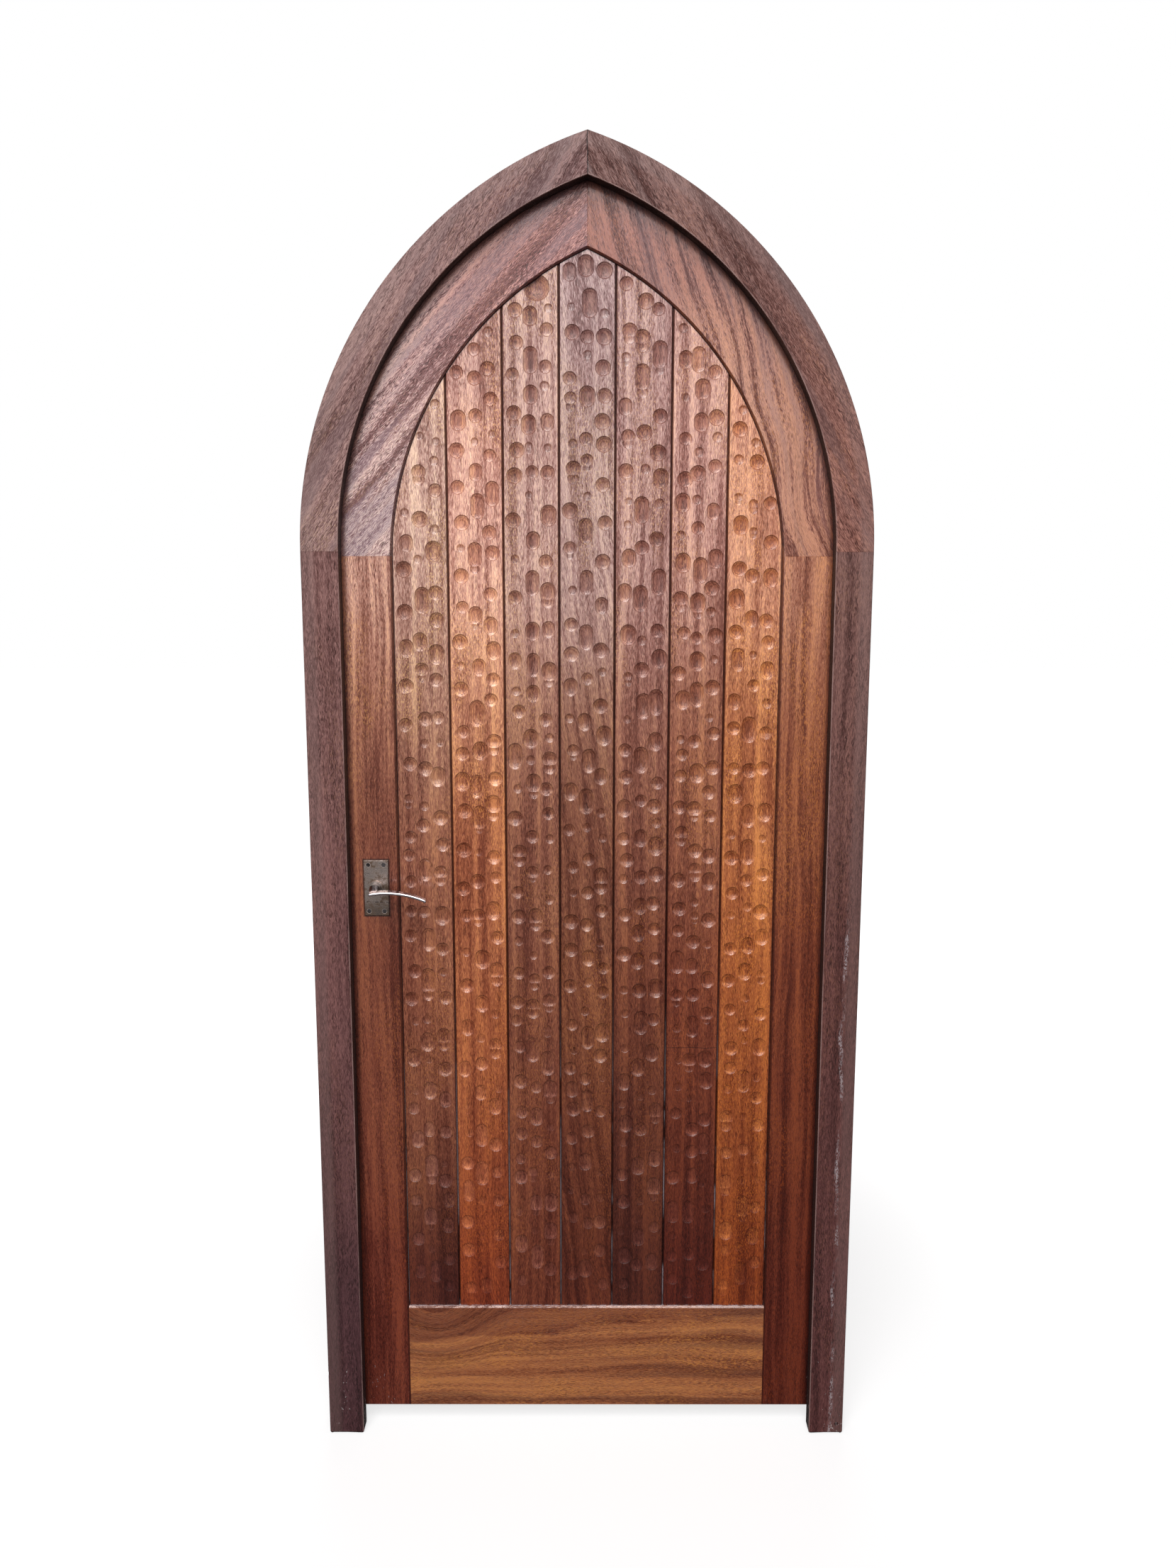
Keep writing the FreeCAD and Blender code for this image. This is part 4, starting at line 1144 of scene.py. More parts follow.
def pick(piece: bpy.types.Object, bits: Bits, wanted: Callable[[Bit], bool]) -> bool:
    """Selects the corners or edges that a test wants, in edit mode.

    Args:
        piece: The object being edited.
        bits: What is picked.
        wanted: The test.

    Returns:
        Whether any is selected.
    """
    title, mode = bits.value
    bpy.ops.mesh.select_mode(type=mode)
    bpy.ops.mesh.select_all(action="DESELECT")
    mesh = bmesh.from_edit_mesh(piece.data)
    picked = [bit for bit in getattr(mesh, title) if wanted(bit)]
    for bit in picked:
        bit.select_set(True)
    bmesh.update_edit_mesh(piece.data)
    return bool(picked)


def round_over(
    piece: bpy.types.Object, width: float, wanted: Callable[[Arris], bool], steps: int = 2
) -> None:
    """Rounds the outward edges that a test wants.

    Args:
        piece: The object.
        width: How wide the rounding is.
        wanted: The test.
        steps: How many faces it has across.
    """

    def is_chosen(edge: Bit) -> bool:
        """Whether an edge is sharp, points outwards and is wanted."""
        outward = edge.is_manifold and edge.is_convex
        return outward and Arris.of(edge).fold > SHARP_FOLD and wanted(Arris.of(edge))

    with edit_mode(piece):
        if pick(piece, Bits.EDGES, is_chosen):
            bpy.ops.mesh.bevel(offset=width, segments=steps, profile=0.5, affect="EDGES")


def apply_modifier(piece: bpy.types.Object, kind: str, **settings: object) -> None:
    """Puts a modifier on an object and applies it.

    Args:
        piece: The object.
        kind: The modifier's type.
        **settings: Its properties.
    """
    modifier = piece.modifiers.new(kind.lower(), kind)
    for name, value in settings.items():
        setattr(modifier, name, value)
    hold(piece)
    bpy.ops.object.modifier_apply(modifier=modifier.name)


def cut_away(piece: bpy.types.Object, cutter: bpy.types.Object, **settings: object) -> None:
    """Cuts an object out of a piece and throws it away.

    Args:
        piece: The piece.
        cutter: What is cut out of it.
        **settings: Further properties of the cut.
    """
    fed = {"operation": "DIFFERENCE", "solver": "EXACT", "object": cutter, **settings}
    apply_modifier(piece, "BOOLEAN", **fed)
    bpy.data.objects.remove(cutter)


def worked_copy(node: str) -> bpy.types.Object:
    """A clean copy of a CAD node, with its flat faces joined up, that stands for the node.

    Args:
        node: The node's name.

    Returns:
        The copy, riding on the node's body.
    """
    source = NODES[node]
    piece = place_in_scene(node + "_worked", source.data.copy())
    hold(piece)
    bpy.ops.mesh.customdata_custom_splitnormals_clear()
    with edit_mode(piece):
        bpy.ops.mesh.select_all(action="SELECT")
        bpy.ops.mesh.remove_doubles(threshold=0.00001)
        bpy.ops.mesh.dissolve_limited(angle_limit=radians(0.2))
    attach(piece, source["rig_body"])
    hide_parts(node)
    return piece


def smooth(piece: bpy.types.Object, angle: float = 35.0, weighted: bool = True) -> None:
    """Shades a piece smooth, with sharp edges kept.

    Args:
        piece: The object.
        angle: Degrees from which an edge is sharp.
        weighted: Whether large faces stay flat beside their rounded edges.
    """
    hold(piece)
    bpy.ops.object.shade_smooth_by_angle(angle=radians(angle), keep_sharp_edges=True)
    if weighted:
        apply_modifier(piece, "WEIGHTED_NORMAL", mode="FACE_AREA", weight=80, keep_sharp=True)


def dress(material: bpy.types.Material, *pieces: bpy.types.Object) -> None:
    """Gives pieces their material and reports them.

    Args:
        material: The material.
        *pieces: The pieces.
    """
    for piece in pieces:
        piece.data.materials.clear()
        piece.data.materials.append(material)
        triangles = sum(len(face.vertices) - 2 for face in piece.data.polygons)
        log.info("%-28s %-24s %6d triangles", piece.name, material.name, triangles)


def plain(slot: str) -> bpy.types.Material:
    """The plain material that the CAD nodes of a slot come with."""
    return bpy.data.materials[slot]


def nodes_named(*words: str) -> list[bpy.types.Object]:
    """The CAD nodes with one of these words in their names."""
    return [node for name, node in NODES.items() if any(word in name for word in words)]


# ---------------------------------------------------------------- the frame


@dataclass(frozen=True)
class Nick:
    """A knock in the wood.

    Attributes:
        end: The end of the name of the piece that has it.
        place: Middle of the ball that it is cut with.
        radius: Radius of that ball.
    """

    end: str
    place: Place
    radius: float

    def cut(self, piece: bpy.types.Object) -> None:
        """Cuts it into the piece.

        Args:
            piece: The object.
        """
        hold()
        bpy.ops.mesh.primitive_ico_sphere_add(
            subdivisions=2, radius=self.radius, location=self.place
        )
        ball = bpy.context.object
        bpy.ops.object.transform_apply(location=True, rotation=False, scale=False)
        cut_away(piece, ball)


@dataclass
class DoorFrame:
    """The outer frame: two posts and two arched heads.

    Attributes:
        arris: Rounding of the long edges.
        foot: Rounding of the feet.
        joint: Rounding at the joints.
        nicks: The knocks that the posts have taken.
    """

    arris: float = 0.0013
    foot: float = 0.0050
    joint: float = 0.0003
    nicks: tuple[Nick, ...] = (
        Nick("post_latch", (-0.5185, -0.0560, 0.130), 0.0065),
        Nick("post_hinge", (0.5035, -0.0555, 0.0205), 0.0048),
    )

    def is_at_corner(self, edge: Arris) -> bool:
        """Whether an edge runs along an outer corner of the frame's section.

        Args:
            edge: The edge.

        Returns:
            Whether it does.
        """
        corners = (
            (LAYOUT.clear_half, LAYOUT.frame_front),
            (LAYOUT.outer_half, LAYOUT.frame_front),
            (LAYOUT.outer_half, LAYOUT.back),
            (LAYOUT.rebate_half, LAYOUT.back),
            (LAYOUT.clear_half, LAYOUT.stop),
        )
        across = LAYOUT.across(edge.middle.x, edge.middle.z)
        return any(hypot(across - u, edge.middle.y - v) < CHORD_SAG for u, v in corners)

    def is_long(self, edge: Arris) -> bool:
        """Whether an edge is a long arris of the frame."""
        off_foot = not self.is_foot(edge) and not self.is_joint(edge)
        return edge.is_lengthwise and off_foot and self.is_at_corner(edge)

    def is_joint(self, edge: Arris) -> bool:
        """Whether an edge lies in a joint of the frame."""
        return edge.is_level_at(LAYOUT.spring) or edge.is_in_crown

    def outlines_joint(self, edge: Arris) -> bool:
        """Whether an edge outlines a joint on the front of the frame."""
        return self.is_joint(edge) and edge.middle.y < LAYOUT.frame_front + SKIN

    def is_foot(self, edge: Arris) -> bool:
        """Whether an edge outlines a foot."""
        return edge.middle.z < CLOSE

    def finishes(self) -> dict[str, FrameFinish]:
        """The finish of each piece, by the end of its name.

        Returns:
            The finishes.
        """
        post = FrameFinish(
            "frame_latch_post", middle=(0.140, 0.054, 0.051), cut=(3.1, 0.4, 7.0),
            dark=(0.45, 0.37, 0.36), light=(1.70, 1.9, 1.8), varnish=Varnish.WORN,
            curl=2.2, ribbon=0.7, stripe=0.3, fibre=1.2, pores=0.9, mottle=0.3,
            foot=(0.50, 0.46, 0.56), crown=(1.35, 1.5, 1.4),
        )
        head = replace(post, crown=PLAIN, silk=0.6)
        return {
            "post_latch": post,
            "post_hinge": replace(
                post, name="frame_hinge_post", middle=(0.118, 0.040, 0.034), cut=(9.3, 1.4, 2.0),
                foot=(0.92, 0.88, 0.98), crown=(1.15, 1.35, 1.3), residue=(0.489, 1.25),
            ),
            "head_latch": replace(
                head, name="frame_latch_head", middle=(0.275, 0.150, 0.134), lean=32.0,
                cut=(5.7, 2.2, 4.0), apex=(0.58, 0.45, 0.46), silk_tint=(0.155, 0.088, 0.090),
            ),
            "head_hinge": replace(
                head, name="frame_hinge_head", middle=(0.240, 0.093, 0.069), lean=-30.0,
                cut=(1.9, 3.6, 8.0), apex=(0.48, 0.42, 0.42), silk_tint=(0.125, 0.055, 0.050),
            ),
        }

    def build(self) -> None:
        """Works and dresses the four pieces and their tenons."""
        for end, finish in self.finishes().items():
            piece = worked_copy("frame_" + end)
            round_over(piece, self.arris, self.is_long, 3)
            round_over(piece, self.joint, self.outlines_joint, 1)
            if end.startswith("post"):
                round_over(piece, self.foot, self.is_foot, 3)
            for nick in self.nicks:
                if nick.end == end:
                    nick.cut(piece)
            smooth(piece)
            dress(finish.material(), piece)
        dress(plain("tenon_wood"), *nodes_named("tenon"))


# ---------------------------------------------------------------- the leaf


@dataclass
class Leaf:
    """The leaf's framing: stiles, arched heads and bottom rail.

    Attributes:
        arris: Rounding of the long edges.
        joint: Rounding at the joints.
    """

    arris: float = 0.0009
    joint: float = 0.0003

    def is_on_face(self, edge: Arris) -> bool:
        """Whether an edge lies in the front or back face."""
        return abs(abs(edge.middle.y) - LAYOUT.back) < CLOSE

    def is_long(self, edge: Arris) -> bool:
        """Whether an edge is a long arris of the leaf's framing."""
        return self.is_on_face(edge) and edge.is_lengthwise and not self.is_joint(edge)

    def is_at_rail(self, edge: Arris) -> bool:
        """Whether an edge lies where the rail meets a stile."""
        beside = abs(abs(edge.middle.x) - LAYOUT.panel_half) < CLOSE
        return beside and edge.middle.z < LAYOUT.rail_top

    def is_joint(self, edge: Arris) -> bool:
        """Whether an edge lies in a joint of the leaf's framing."""
        level = edge.is_level_at(LAYOUT.leaf_joint)
        return level or edge.is_in_crown or self.is_at_rail(edge)

    def outlines_joint(self, edge: Arris) -> bool:
        """Whether an edge outlines a joint on a face of the leaf."""
        return self.is_joint(edge) and self.is_on_face(edge)

    def finishes(self) -> dict[str, WoodFinish]:
        """The finish of each piece, by node name.

        Returns:
            The finishes.
        """
        return {
            "leaf_stile_latch": LeafFinish(
                "leaf_latch_stile", middle=(0.200, 0.050, 0.025), cut=(2.0, 0.3, 1.0),
                stripe=0.7, foot=(0.75, 0.48, 0.44), crown=(2.11, 3.21, 3.70),
                plate=(SPINDLE, (0.0235, 0.054)),
            ),
            "leaf_stile_hinge": LeafFinish(
                "leaf_hinge_stile", middle=(0.190, 0.036, 0.011), cut=(7.0, 1.3, 5.0),
                stripe=0.7, foot=(0.60, 0.38, 0.32), crown=(1.80, 2.85, 3.80),
            ),
            "leaf_head_latch": LeafFinish(
                "leaf_latch_head", middle=(0.380, 0.202, 0.190), cut=(4.0, 5.0, 3.0), lean=42.0,
                curl=2.4, ribbon=1.4, stripe=0.7, fibre=2.2, mottle=0.2, pores=1.0,
                silk=0.65, silk_tint=(0.150, 0.068, 0.090), crown=PLAIN, apex=(0.84, 0.55, 0.52),
            ),
            "leaf_head_hinge": LeafFinish(
                "leaf_hinge_head", middle=(0.300, 0.094, 0.050), cut=(6.4, 8.0, 2.5), lean=-14.0,
                wander=0.06, curl=1.6, ribbon=2.3, stripe=1.3, fibre=1.9,
                silk=0.4, silk_tint=(0.18, 0.064, 0.060), crown=PLAIN, apex=(0.575, 0.45, 0.58),
                knot=Knot(0.47, 1.80, 0.20, 0.05),
            ),
            "bottom_rail": RailFinish(
                "leaf_bottom_rail", middle=(0.40, 0.130, 0.045), cut=(1.0, 6.0, 9.0), lean=88.0,
                light=(1.45, 1.65, 1.4), wander=0.05, silk=0.60, silk_tint=(0.13, 0.038, 0.018),
                foot=PLAIN, knot=Knot(-0.30, 0.245, 0.16, -0.09),
            ),
        }

    def build(self) -> None:
        """Works and dresses the five pieces."""
        for node, finish in self.finishes().items():
            piece = worked_copy(node)
            round_over(piece, self.arris, self.is_long)
            round_over(piece, self.joint, self.outlines_joint, 1)
            smooth(piece)
            dress(finish.material(), piece)


# ---------------------------------------------------------------- the scooped boards


class ScoopShape(Enum):
    """How much taller than wide a scoop is."""

    ROUND = 0.0
    OVAL = 0.30
    LONG = 0.80


@dataclass(frozen=True)
class Scoop:
    """One scoop of the gouge.

    Attributes:
        x: Sideways place of its middle.
        z: Height of its middle.
        half_width: Half of its width at the face.
        sweep: Radius of the gouge's sweep, which makes a wide scoop a deep one.
        shape: How tall it is for its width.
    """

    x: float
    z: float
    half_width: float
    sweep: float
    shape: ScoopShape

    @property
    def depth(self) -> float:
        """How deep the scoop is."""
        return self.half_width**2 / (2 * self.sweep)

    @property
    def half_height(self) -> float:
        """Half of the scoop's height at the face."""
        return self.half_width * (1 + self.shape.value)

    @property
    def foot(self) -> float:
        """Height of the scoop's lowest point."""
        return self.z - self.half_height


@dataclass(frozen=True)
class Stroke:
    """A usual kind of scoop.

    Attributes:
        shape: How tall it is for its width.
        widths: The least and greatest half of its width.
        beside: Share of an outer row's scoops that are of this kind or of one before it.
        between: Share of the middle row's.
    """

    shape: ScoopShape
    widths: tuple[float, float]
    beside: float
    between: float


@dataclass
class Boards:
    """Seven upright boards, scooped all over with a gouge.

    Attributes:
        strokes: The usual kinds of scoop.
        sweeps: The least and greatest radius of the gouge's sweep.
        worn: Height below which the scoops are flatter, and how much flatter in each metre.
        columns: Where the three rows of scoops run up a board, from its middle.
        stray: How far a scoop may stand beside its row.
        start: Height at which the rows start, and how far below it they may.
        gap: Usual space between the scoops of a row.
        step: How far a row moves down where there is no room for a scoop.
        twins: How often a scoop runs into a second one below it.
        last: How far above the rail a row ends.
        clear: How far above the rail every scoop stays.
        broad: The one scoop that is twice as broad as the rest.
        band: Height of the strips that a board's face is parted into before it is cut.
        top_band: The least height of the uppermost strip.
        domed: How deep the cutter is for the scoop that it cuts.
        rim: How wide the cutter is at the face for its width at its middle.
        segments: Faces round a cutter.
        rings: Faces from one end of it to the other.
        seed: Where the boards' runs of chances start.
        masters: The cutters made so far.
    """

    strokes: tuple[Stroke, ...] = (
        Stroke(ScoopShape.LONG, (0.0125, 0.0145), 0.02, 0.22),
        Stroke(ScoopShape.OVAL, (0.0125, 0.0155), 0.22, 0.45),
        Stroke(ScoopShape.ROUND, (0.0120, 0.0155), 0.78, 0.78),
        Stroke(ScoopShape.ROUND, (0.0075, 0.0100), 1.00, 1.00),
    )
    sweeps: tuple[float, float] = (0.026, 0.032)
    worn: tuple[float, float] = (1.0, 2.2)
    columns: tuple[float, ...] = (-0.029, 0.0, 0.029)
    stray: float = 0.0045
    start: tuple[float, float] = (2.30, 0.02)
    gap: float = 0.030
    step: float = 0.008
    twins: float = 0.14
    last: float = 0.045
    clear: float = 0.004
    broad: Scoop = Scoop(-0.090, 2.207, 0.0235, 0.048, ScoopShape.ROUND)
    band: float = 0.12
    top_band: float = 0.02
    domed: float = 1.9
    rim: float = 0.88
    segments: int = 16
    rings: int = 12
    seed: int = 400
    masters: dict[ScoopShape, bpy.types.Object] = field(default_factory=dict)

    def finishes(self) -> list[BoardFinish]:
        """The finish of each board, from the latch side.

        Returns:
            The finishes.
        """
        rows = {
            "board_brown": dict(
                middle=(0.280, 0.083, 0.042), foot=(0.30, 0.17, 0.19),
                crown=(1.60, 2.50, 3.20), bloom=(1.12, 1.22, 1.36),
            ),
            "board_orange": dict(
                middle=(0.395, 0.105, 0.038), foot=(0.62, 0.37, 0.29),
                crown=(1.54, 2.40, 3.65), bloom=(0.97, 1.00, 1.24), apex=(0.58, 0.54, 0.60),
            ),
            "board_walnut": dict(
                middle=(0.225, 0.064, 0.033), foot=(0.74, 0.54, 0.47),
                crown=(1.62, 2.35, 3.00), bloom=(1.12, 1.24, 1.42), apex=(0.86, 0.84, 0.90),
            ),
            "board_figured": dict(
                middle=(0.215, 0.060, 0.026), foot=(0.57, 0.37, 0.36), lean=-6.0, wander=0.05,
                crown=(1.45, 2.12, 3.10), bloom=(1.08, 1.24, 1.58), apex=(0.80, 0.80, 0.92),
            ),
            "board_striped": dict(
                middle=(0.187, 0.045, 0.020), foot=(0.38, 0.24, 0.28), ribbon=1.1,
                crown=(1.95, 3.10, 4.50), bloom=(1.02, 1.12, 1.35), apex=(0.80, 0.80, 0.90),
            ),
            "board_plum": dict(
                middle=(0.188, 0.037, 0.014), foot=(0.42, 0.21, 0.23), dusty=0.8, crack=0.7985,
                crown=(2.15, 3.90, 5.60), bloom=(1.10, 1.24, 1.65), apex=(0.72, 0.68, 0.72),
            ),
            "board_copper": dict(
                middle=(0.405, 0.100, 0.024), foot=(0.60, 0.41, 0.34),
                crown=(1.30, 1.80, 2.90), bloom=(1.0, 1.02, 1.24), apex=(0.80, 0.84, 1.10),
            ),
        }
        return [
            BoardFinish(
                name, cut=(1.3 * number, 0.9 * number, 1.7 * number),
                stands=(number - 3) * LAYOUT.board_cover, **row,
            )
            for number, (name, row) in enumerate(rows.items())
        ]

    def draw(self, x: float, top: float, chance: random.Random, central: bool) -> Scoop:
        """Draws one scoop's shape and size.

        Args:
            x: Sideways place of its middle.
            top: Height of its highest point.
            chance: The board's own run of chances.
            central: Whether it is in the middle row, where the long scoops are.

        Returns:
            The scoop.
        """
        drawn = chance.random()
        shares = [(stroke, stroke.between if central else stroke.beside) for stroke in self.strokes]
        stroke = next(stroke for stroke, share in shares if drawn < share)
        half_width = chance.uniform(*stroke.widths)
        below, flatter = self.worn
        sweep = chance.uniform(*self.sweeps) * (1.0 + flatter * max(0.0, below - top))
        scoop = Scoop(x, top, half_width, sweep, stroke.shape)
        return replace(scoop, z=scoop.foot)

    def has_room(self, scoop: Scoop) -> bool:
        """Whether a scoop keeps off the panel's edge and the broad scoop."""
        apart = hypot(scoop.x - self.broad.x, scoop.z - self.broad.z) - self.broad.half_width
        return scoop.half_height <= min(LAYOUT.inside_panel(scoop.x, scoop.z), apart)

    def layout(self, middle: float, chance: random.Random) -> list[Scoop]:
        """Lays the scoops out on one board.

        Args:
            middle: Sideways place of the board's middle.
            chance: The board's own run of chances.

        Returns:
            The scoops.
        """
        scoops = [self.broad] if abs(self.broad.x - middle) < LAYOUT.board_cover / 2 else []
        for column in self.columns:
            top = self.start[0] - chance.uniform(0.0, self.start[1])
            while top > LAYOUT.rail_top + self.last:
                x = middle + column + chance.uniform(-self.stray, self.stray)
                scoop = self.draw(x, top, chance, column == 0.0)
                if not self.has_room(scoop):
                    top -= self.step
                    continue
                scoops.append(scoop)
                if chance.random() < self.twins:
                    half_width = scoop.half_width * chance.uniform(0.55, 0.95)
                    z = scoop.foot - half_width * chance.uniform(-0.2, 0.3)
                    twin = replace(scoop, z=z, half_width=half_width, shape=ScoopShape.ROUND)
                    scoops.append(twin)
                    top = z + scoop.half_height
                top -= 2 * scoop.half_height + self.gap * chance.uniform(0.25, 1.75)
        return [scoop for scoop in scoops if scoop.foot > LAYOUT.rail_top + self.clear]

    def master(self, shape: ScoopShape) -> bpy.types.Object:
        """The gouge's cutting shape, with a radius of 1 and its axis along Y.

        Args:
            shape: How tall it is for its width.

        Returns:
            The cutter, made once for each shape.
        """
        if shape not in self.masters:
            hold()
            bpy.ops.mesh.primitive_uv_sphere_add(
                segments=self.segments, ring_count=self.rings, radius=1.0,
                rotation=(pi / 2, pi / self.segments, 0.0),
            )
            cutter = bpy.context.object
            bpy.ops.object.transform_apply(location=True, rotation=True, scale=True)
            for side in (1.0, -1.0):
                with edit_mode(cutter):
                    pick(cutter, Bits.CORNERS, lambda corner: corner.co.z * side > CLOSE)
                    stretch = (0.0, 0.0, side * shape.value * self.rim)
                    bpy.ops.transform.translate(value=stretch)
            self.masters[shape] = cutter
        return self.masters[shape]

    def cutter(self, scoop: Scoop) -> bpy.types.Object:
        """A copy of the cutting shape, at the place and of the size of a scoop.

        Args:
            scoop: The scoop.

        Returns:
            The cutter.
        """
        mesh = self.master(scoop.shape).data.copy()
        wide, deep = scoop.half_width / self.rim, scoop.depth * self.domed
        place = Vector((scoop.x, LAYOUT.board_front + scoop.depth - deep, scoop.z))
        mesh.transform(Matrix.Translation(place) @ Matrix.Diagonal((wide, deep, wide, 1.0)))
        return place_in_scene("scoop", mesh)

    def part_bands(self, board: bpy.types.Object) -> None:
        """Parts a board's faces into short strips, so that no face takes too many scoops.

        Args:
            board: The board.
        """
        top = max(vertex.co.z for vertex in board.data.vertices)
        with edit_mode(board):
            z = LAYOUT.rail_top + self.band
            while z < top - self.top_band:
                bpy.ops.mesh.select_all(action="SELECT")
                bpy.ops.mesh.bisect(plane_co=(0.0, 0.0, z), plane_no=(0.0, 0.0, 1.0))
                z += self.band

    def is_rim(self, edge: Bit) -> bool:
        """Whether an edge of a board lies where a scoop leaves its flat face."""
        flat = [face.normal.y < -SQUARE_ON for face in edge.link_faces]
        return any(flat) and not all(flat)

    def build(self) -> None:
        """Cuts and dresses the seven boards."""
        for number, finish in enumerate(self.finishes(), start=1):
            board = worked_copy(f"board_{number}")
            self.part_bands(board)
            scoops = self.layout(finish.stands, random.Random(self.seed + number))
            hold(*[self.cutter(scoop) for scoop in scoops])
            bpy.ops.object.join()
            cut_away(board, bpy.context.object, use_self=True)
            with edit_mode(board):
                pick(board, Bits.EDGES, self.is_rim)
                bpy.ops.mesh.mark_sharp()
            smooth(board, 28.0, weighted=False)
            dress(finish.material(), board)
            log.info("board %d has %d scoops", number, len(scoops))
        for cutter in self.masters.values():
            bpy.data.objects.remove(cutter)


# ---------------------------------------------------------------- the metal


@dataclass
class LeverSet:
    """The levers, their backplates, the spindle and the plates' screws.

    Attributes:
        arm_arris: How wide the long edges of a lever's arm are rounded.
        plate_arris: How wide the edges of a backplate are rounded.
        neck: How far from its end a lever's neck reaches sideways.
        arm: How deep a lever's arm is.
        plate: Finish of the backplates.
        chrome: Finish of the levers.
        screw: Finish of the screws.
    """

    arm_arris: float = 0.0023
    plate_arris: float = 0.0004
    neck: float = 0.018
    arm: float = 0.008
    plate: PlateFinish = PlateFinish(
        "aged_pewter", bare=(0.46, 0.38, 0.34), aged=(0.12, 0.080, 0.055), spread=1.0,
        gloss=Gloss(0.26, 0.50, 0.00003), middle=SPINDLE, rise=0.027,
        screws=(0.0145, 0.045), head=0.0042,
    )
    chrome: LeverFinish = LeverFinish(
        "polished_chrome", bare=(0.68, 0.63, 0.65), aged=(0.42, 0.38, 0.39), spread=0.5,
        gloss=Gloss(0.10, 0.22, 0.00001), root=0.064,
    )
    screw: MetalFinish = MetalFinish(
        "dark_screw_steel", bare=(0.16, 0.145, 0.145), aged=(0.03, 0.026, 0.026), spread=1.0,
        gloss=Gloss(0.25, 0.50, 0.00005),
    )

    def build(self) -> None:
        """Rounds the levers and the plates and dresses the whole set."""
        pewter, chrome = self.plate.material(), self.chrome.material()
        for side in ("outside", "inside"):
            plate = worked_copy(f"{side}_backplate")
            round_over(plate, self.plate_arris, lambda edge: edge.length > 0.02 and edge.fold < 80)
            smooth(plate)
            dress(pewter, plate)
            self.lever(side, chrome)
        dress(chrome, NODES["spindle"])
        dress(self.screw.material(), *nodes_named("plate_screws", "forend_screws", "strike_screws"))

    def lever(self, side: str, material: bpy.types.Material) -> None:
        """Rounds the long edges of a lever's arm and dresses it.

        Args:
            side: Which side of the leaf it is on.
            material: Its finish.
        """
        lever = worked_copy(f"{side}_lever")
        low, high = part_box(f"{side}_lever")
        front = max(abs(low[1]), abs(high[1])) - self.arm

        def is_on_arm(edge: Arris) -> bool:
            """Whether an edge is one of the arm's."""
            past_neck = edge.middle.x > low[0] + self.neck
            return edge.fold > 50 and (past_neck or abs(edge.middle.y) > front)

        round_over(lever, self.arm_arris, is_on_arm, steps=4)
        smooth(lever, 40.0)
        dress(material, lever)


@dataclass
class Ironmongery:
    """The hinges and the latch, which keep the plain steels that they come with.

    Attributes:
        latch: Names of the latch's pieces and of its strike plate.
    """

    latch: tuple[str, ...] = (
        "latch_bolt", "latch_case", "latch_follower", "latch_forend", "strike_plate",
    )

    def build(self) -> None:
        """Dresses the hinges with their screws, and the latch."""
        dress(plain("hinge_steel"), *nodes_named("hinge_"))
        dress(plain("latch_steel"), *nodes_named(*self.latch))


# ---------------------------------------------------------------- studio and camera


@dataclass(frozen=True)
class SoftBox:
    """A large soft lamp.

    Attributes:
        name: The lamp's name.
        place: Its middle.
        aim: The point that it faces.
        width: Its width.
        height: Its height.
        level: How bright its face is, where 1 is white.
        tint: Its colour.
    """

    name: str
    place: Place
    aim: Place
    width: float
    height: float
    level: float
    tint: Tint

    def build(self) -> None:
        """Hangs the lamp."""
        lamp = bpy.data.lights.new(self.name, "AREA")
        lamp.shape = "RECTANGLE"
        lamp.size, lamp.size_y = self.width, self.height
        lamp.energy = pi * self.width * self.height * self.level
        lamp.color = self.tint
        holder = place_in_scene(self.name, lamp)
        holder.location = self.place
        aim = Vector(self.aim) - Vector(self.place)
        holder.rotation_euler = aim.to_track_quat("-Z", "Y").to_euler()
        holder.visible_camera = False


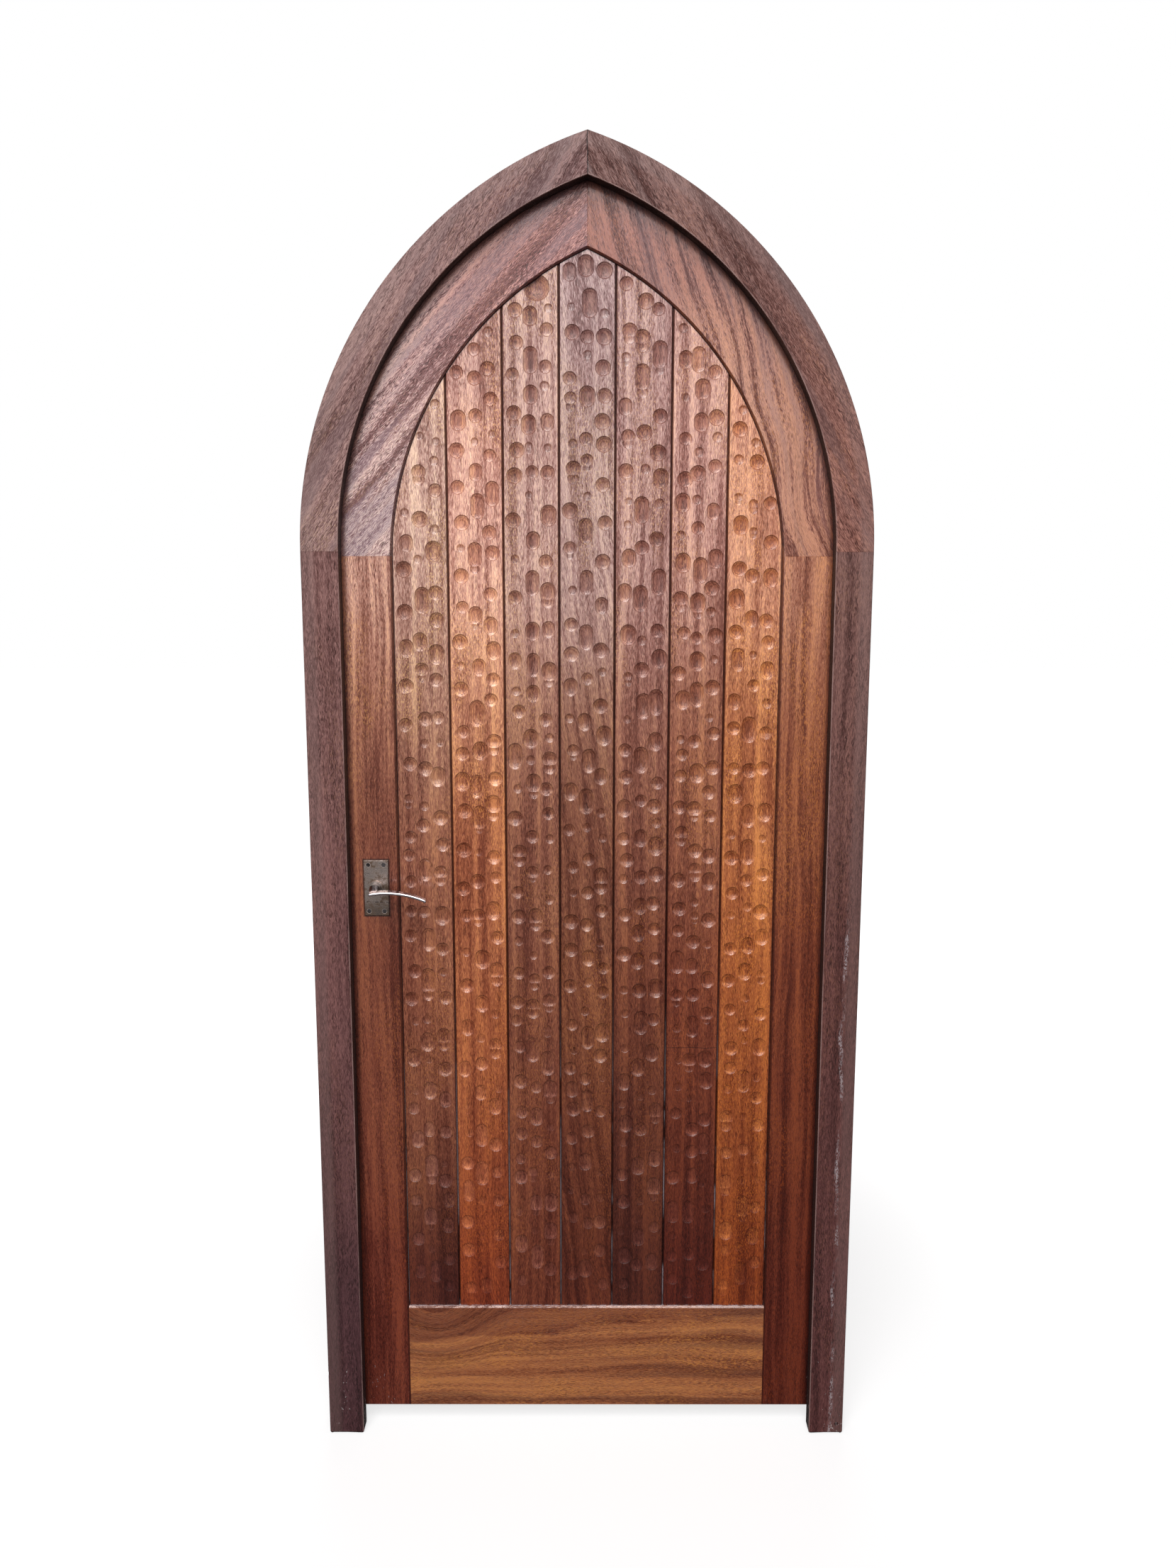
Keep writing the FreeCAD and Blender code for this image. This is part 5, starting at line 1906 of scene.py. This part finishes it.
@dataclass
class Studio:
    """The floor, the surroundings, the lamps and the camera.

    Attributes:
        ambient: How strongly the surroundings light the door.
        floor_half: Half of the floor's width.
        floor_tone: How pale the floor is as a surface that sends light back.
        floor_seen: How pale it is where it is looked at.
        floor_glow: How far it glows there near the door, so that a shadow stays faint.
        lamps: The lamps.
        lens: The camera's focal length in millimetres.
        eye: Where the camera stands.
        tilt: Degrees that it looks down.
        pan: Degrees that it turns to the left.
        roll: Degrees that it is rolled.
    """

    ambient: float = 0.15
    floor_half: float = 30.0
    floor_tone: float = 0.12
    floor_seen: float = 0.45
    floor_glow: float = 0.64
    lamps: tuple[SoftBox, ...] = (
        SoftBox("sky_front", (-1.0, -8.0, 3.2), (-1.0, 0.0, 3.2), 5.0, 3.5, 2.9, (0.98, 0.96, 1.0)),
        SoftBox("sky_high", (-0.6, -4.4, 5.6), (0.0, 0.0, 1.3), 4.0, 4.0, 7.5, (1.0, 0.98, 0.98)),
        SoftBox("back_fill", (0.0, 4.5, 2.6), (0.0, 0.0, 1.2), 4.5, 3.5, 1.6, (1.0, 0.99, 0.98)),
    )
    lens: float = 27.03
    eye: Place = (0.00035, -2.20835, 1.64638)
    tilt: float = 8.515
    pan: float = -0.046
    roll: float = 0.062

    def pale_rays(self, graph: Graph, share: float) -> Signal:
        """How much a ray sees the pale studio rather than what lights the door.

        Args:
            graph: The graph to write in.
            share: How much of it reflections see.

        Returns:
            The part that is seen, from 0 to 1.
        """
        path = graph.node("LightPath").outputs
        seen = graph.math("ADD", path["Is Camera Ray"], path["Is Transmission Ray"], clamp=True)
        mirrored = graph.math("MULTIPLY", path["Is Glossy Ray"], share)
        return graph.math("ADD", seen, mirrored, clamp=True)

    def surroundings(self) -> None:
        """White to look at, and dim as a light."""
        world = bpy.data.worlds.new("studio")
        bpy.context.scene.world = world
        world.use_nodes = True
        graph = Graph(world.node_tree)
        strength = self.pale_rays(graph, 1.0).between(self.ambient, 1.0)
        sky = graph.take("Background", {"Color": PLAIN, "Strength": strength})
        graph.node("OutputWorld", {0: sky})

    def floor(self) -> None:
        """A plain pale floor that keeps the door's shadow."""
        hold()
        bpy.ops.mesh.primitive_plane_add(size=2 * self.floor_half, location=(0.0, 0.0, -0.0005))
        ground = bpy.context.object
        ground.name = "studio_floor"
        bpy.ops.object.transform_apply(location=True, rotation=True, scale=True)
        material = bpy.data.materials.new("studio_floor")
        material.use_nodes = True
        graph = Graph(material.node_tree)
        far = graph.length(graph.take("TexCoord", output="Object")).ease(0.7, 2.4)
        glow = {"Color": PLAIN, "Strength": far.between(self.floor_glow, 1.0)}
        body = graph.take("BsdfDiffuse", {"Color": (self.floor_tone,) * 3})
        pale = graph.take("BsdfDiffuse", {"Color": (self.floor_seen,) * 3})
        seen = graph.take("AddShader", {0: pale, 1: graph.take("Emission", glow)})
        mix = graph.take("MixShader", {0: self.pale_rays(graph, 0.04), 1: body, 2: seen})
        graph.node("OutputMaterial", {0: mix})
        ground.data.materials.append(material)

    def camera(self) -> None:
        """Sets the camera up in front of the door."""
        lens = bpy.data.cameras.new("camera")
        lens.sensor_width, lens.lens = 36.0, self.lens
        lens.clip_start, lens.clip_end = 0.05, 100.0
        camera = place_in_scene("camera", lens)
        camera.matrix_world = (
            Matrix.Translation(self.eye)
            @ Matrix.Rotation(radians(self.pan), 4, "Z")
            @ Matrix.Rotation(radians(90 - self.tilt), 4, "X")
            @ Matrix.Rotation(radians(self.roll), 4, "Z")
        )
        bpy.context.scene.camera = camera

    def build(self) -> None:
        """Sets up the whole studio."""
        bpy.context.scene.view_settings.view_transform = "Standard"
        self.surroundings()
        self.floor()
        for lamp in self.lamps:
            lamp.build()
        self.camera()


# ---------------------------------------------------------------- the whole door


def main() -> None:
    """Builds the studio and every part of the door in order."""
    logging.basicConfig(level=logging.INFO, format="%(name)s: %(message)s")
    for part in (Studio(), DoorFrame(), Leaf(), Boards(), LeverSet(), Ironmongery()):
        log.info("building %s", type(part).__name__)
        part.build()


if __name__ == "__main__":
    main()
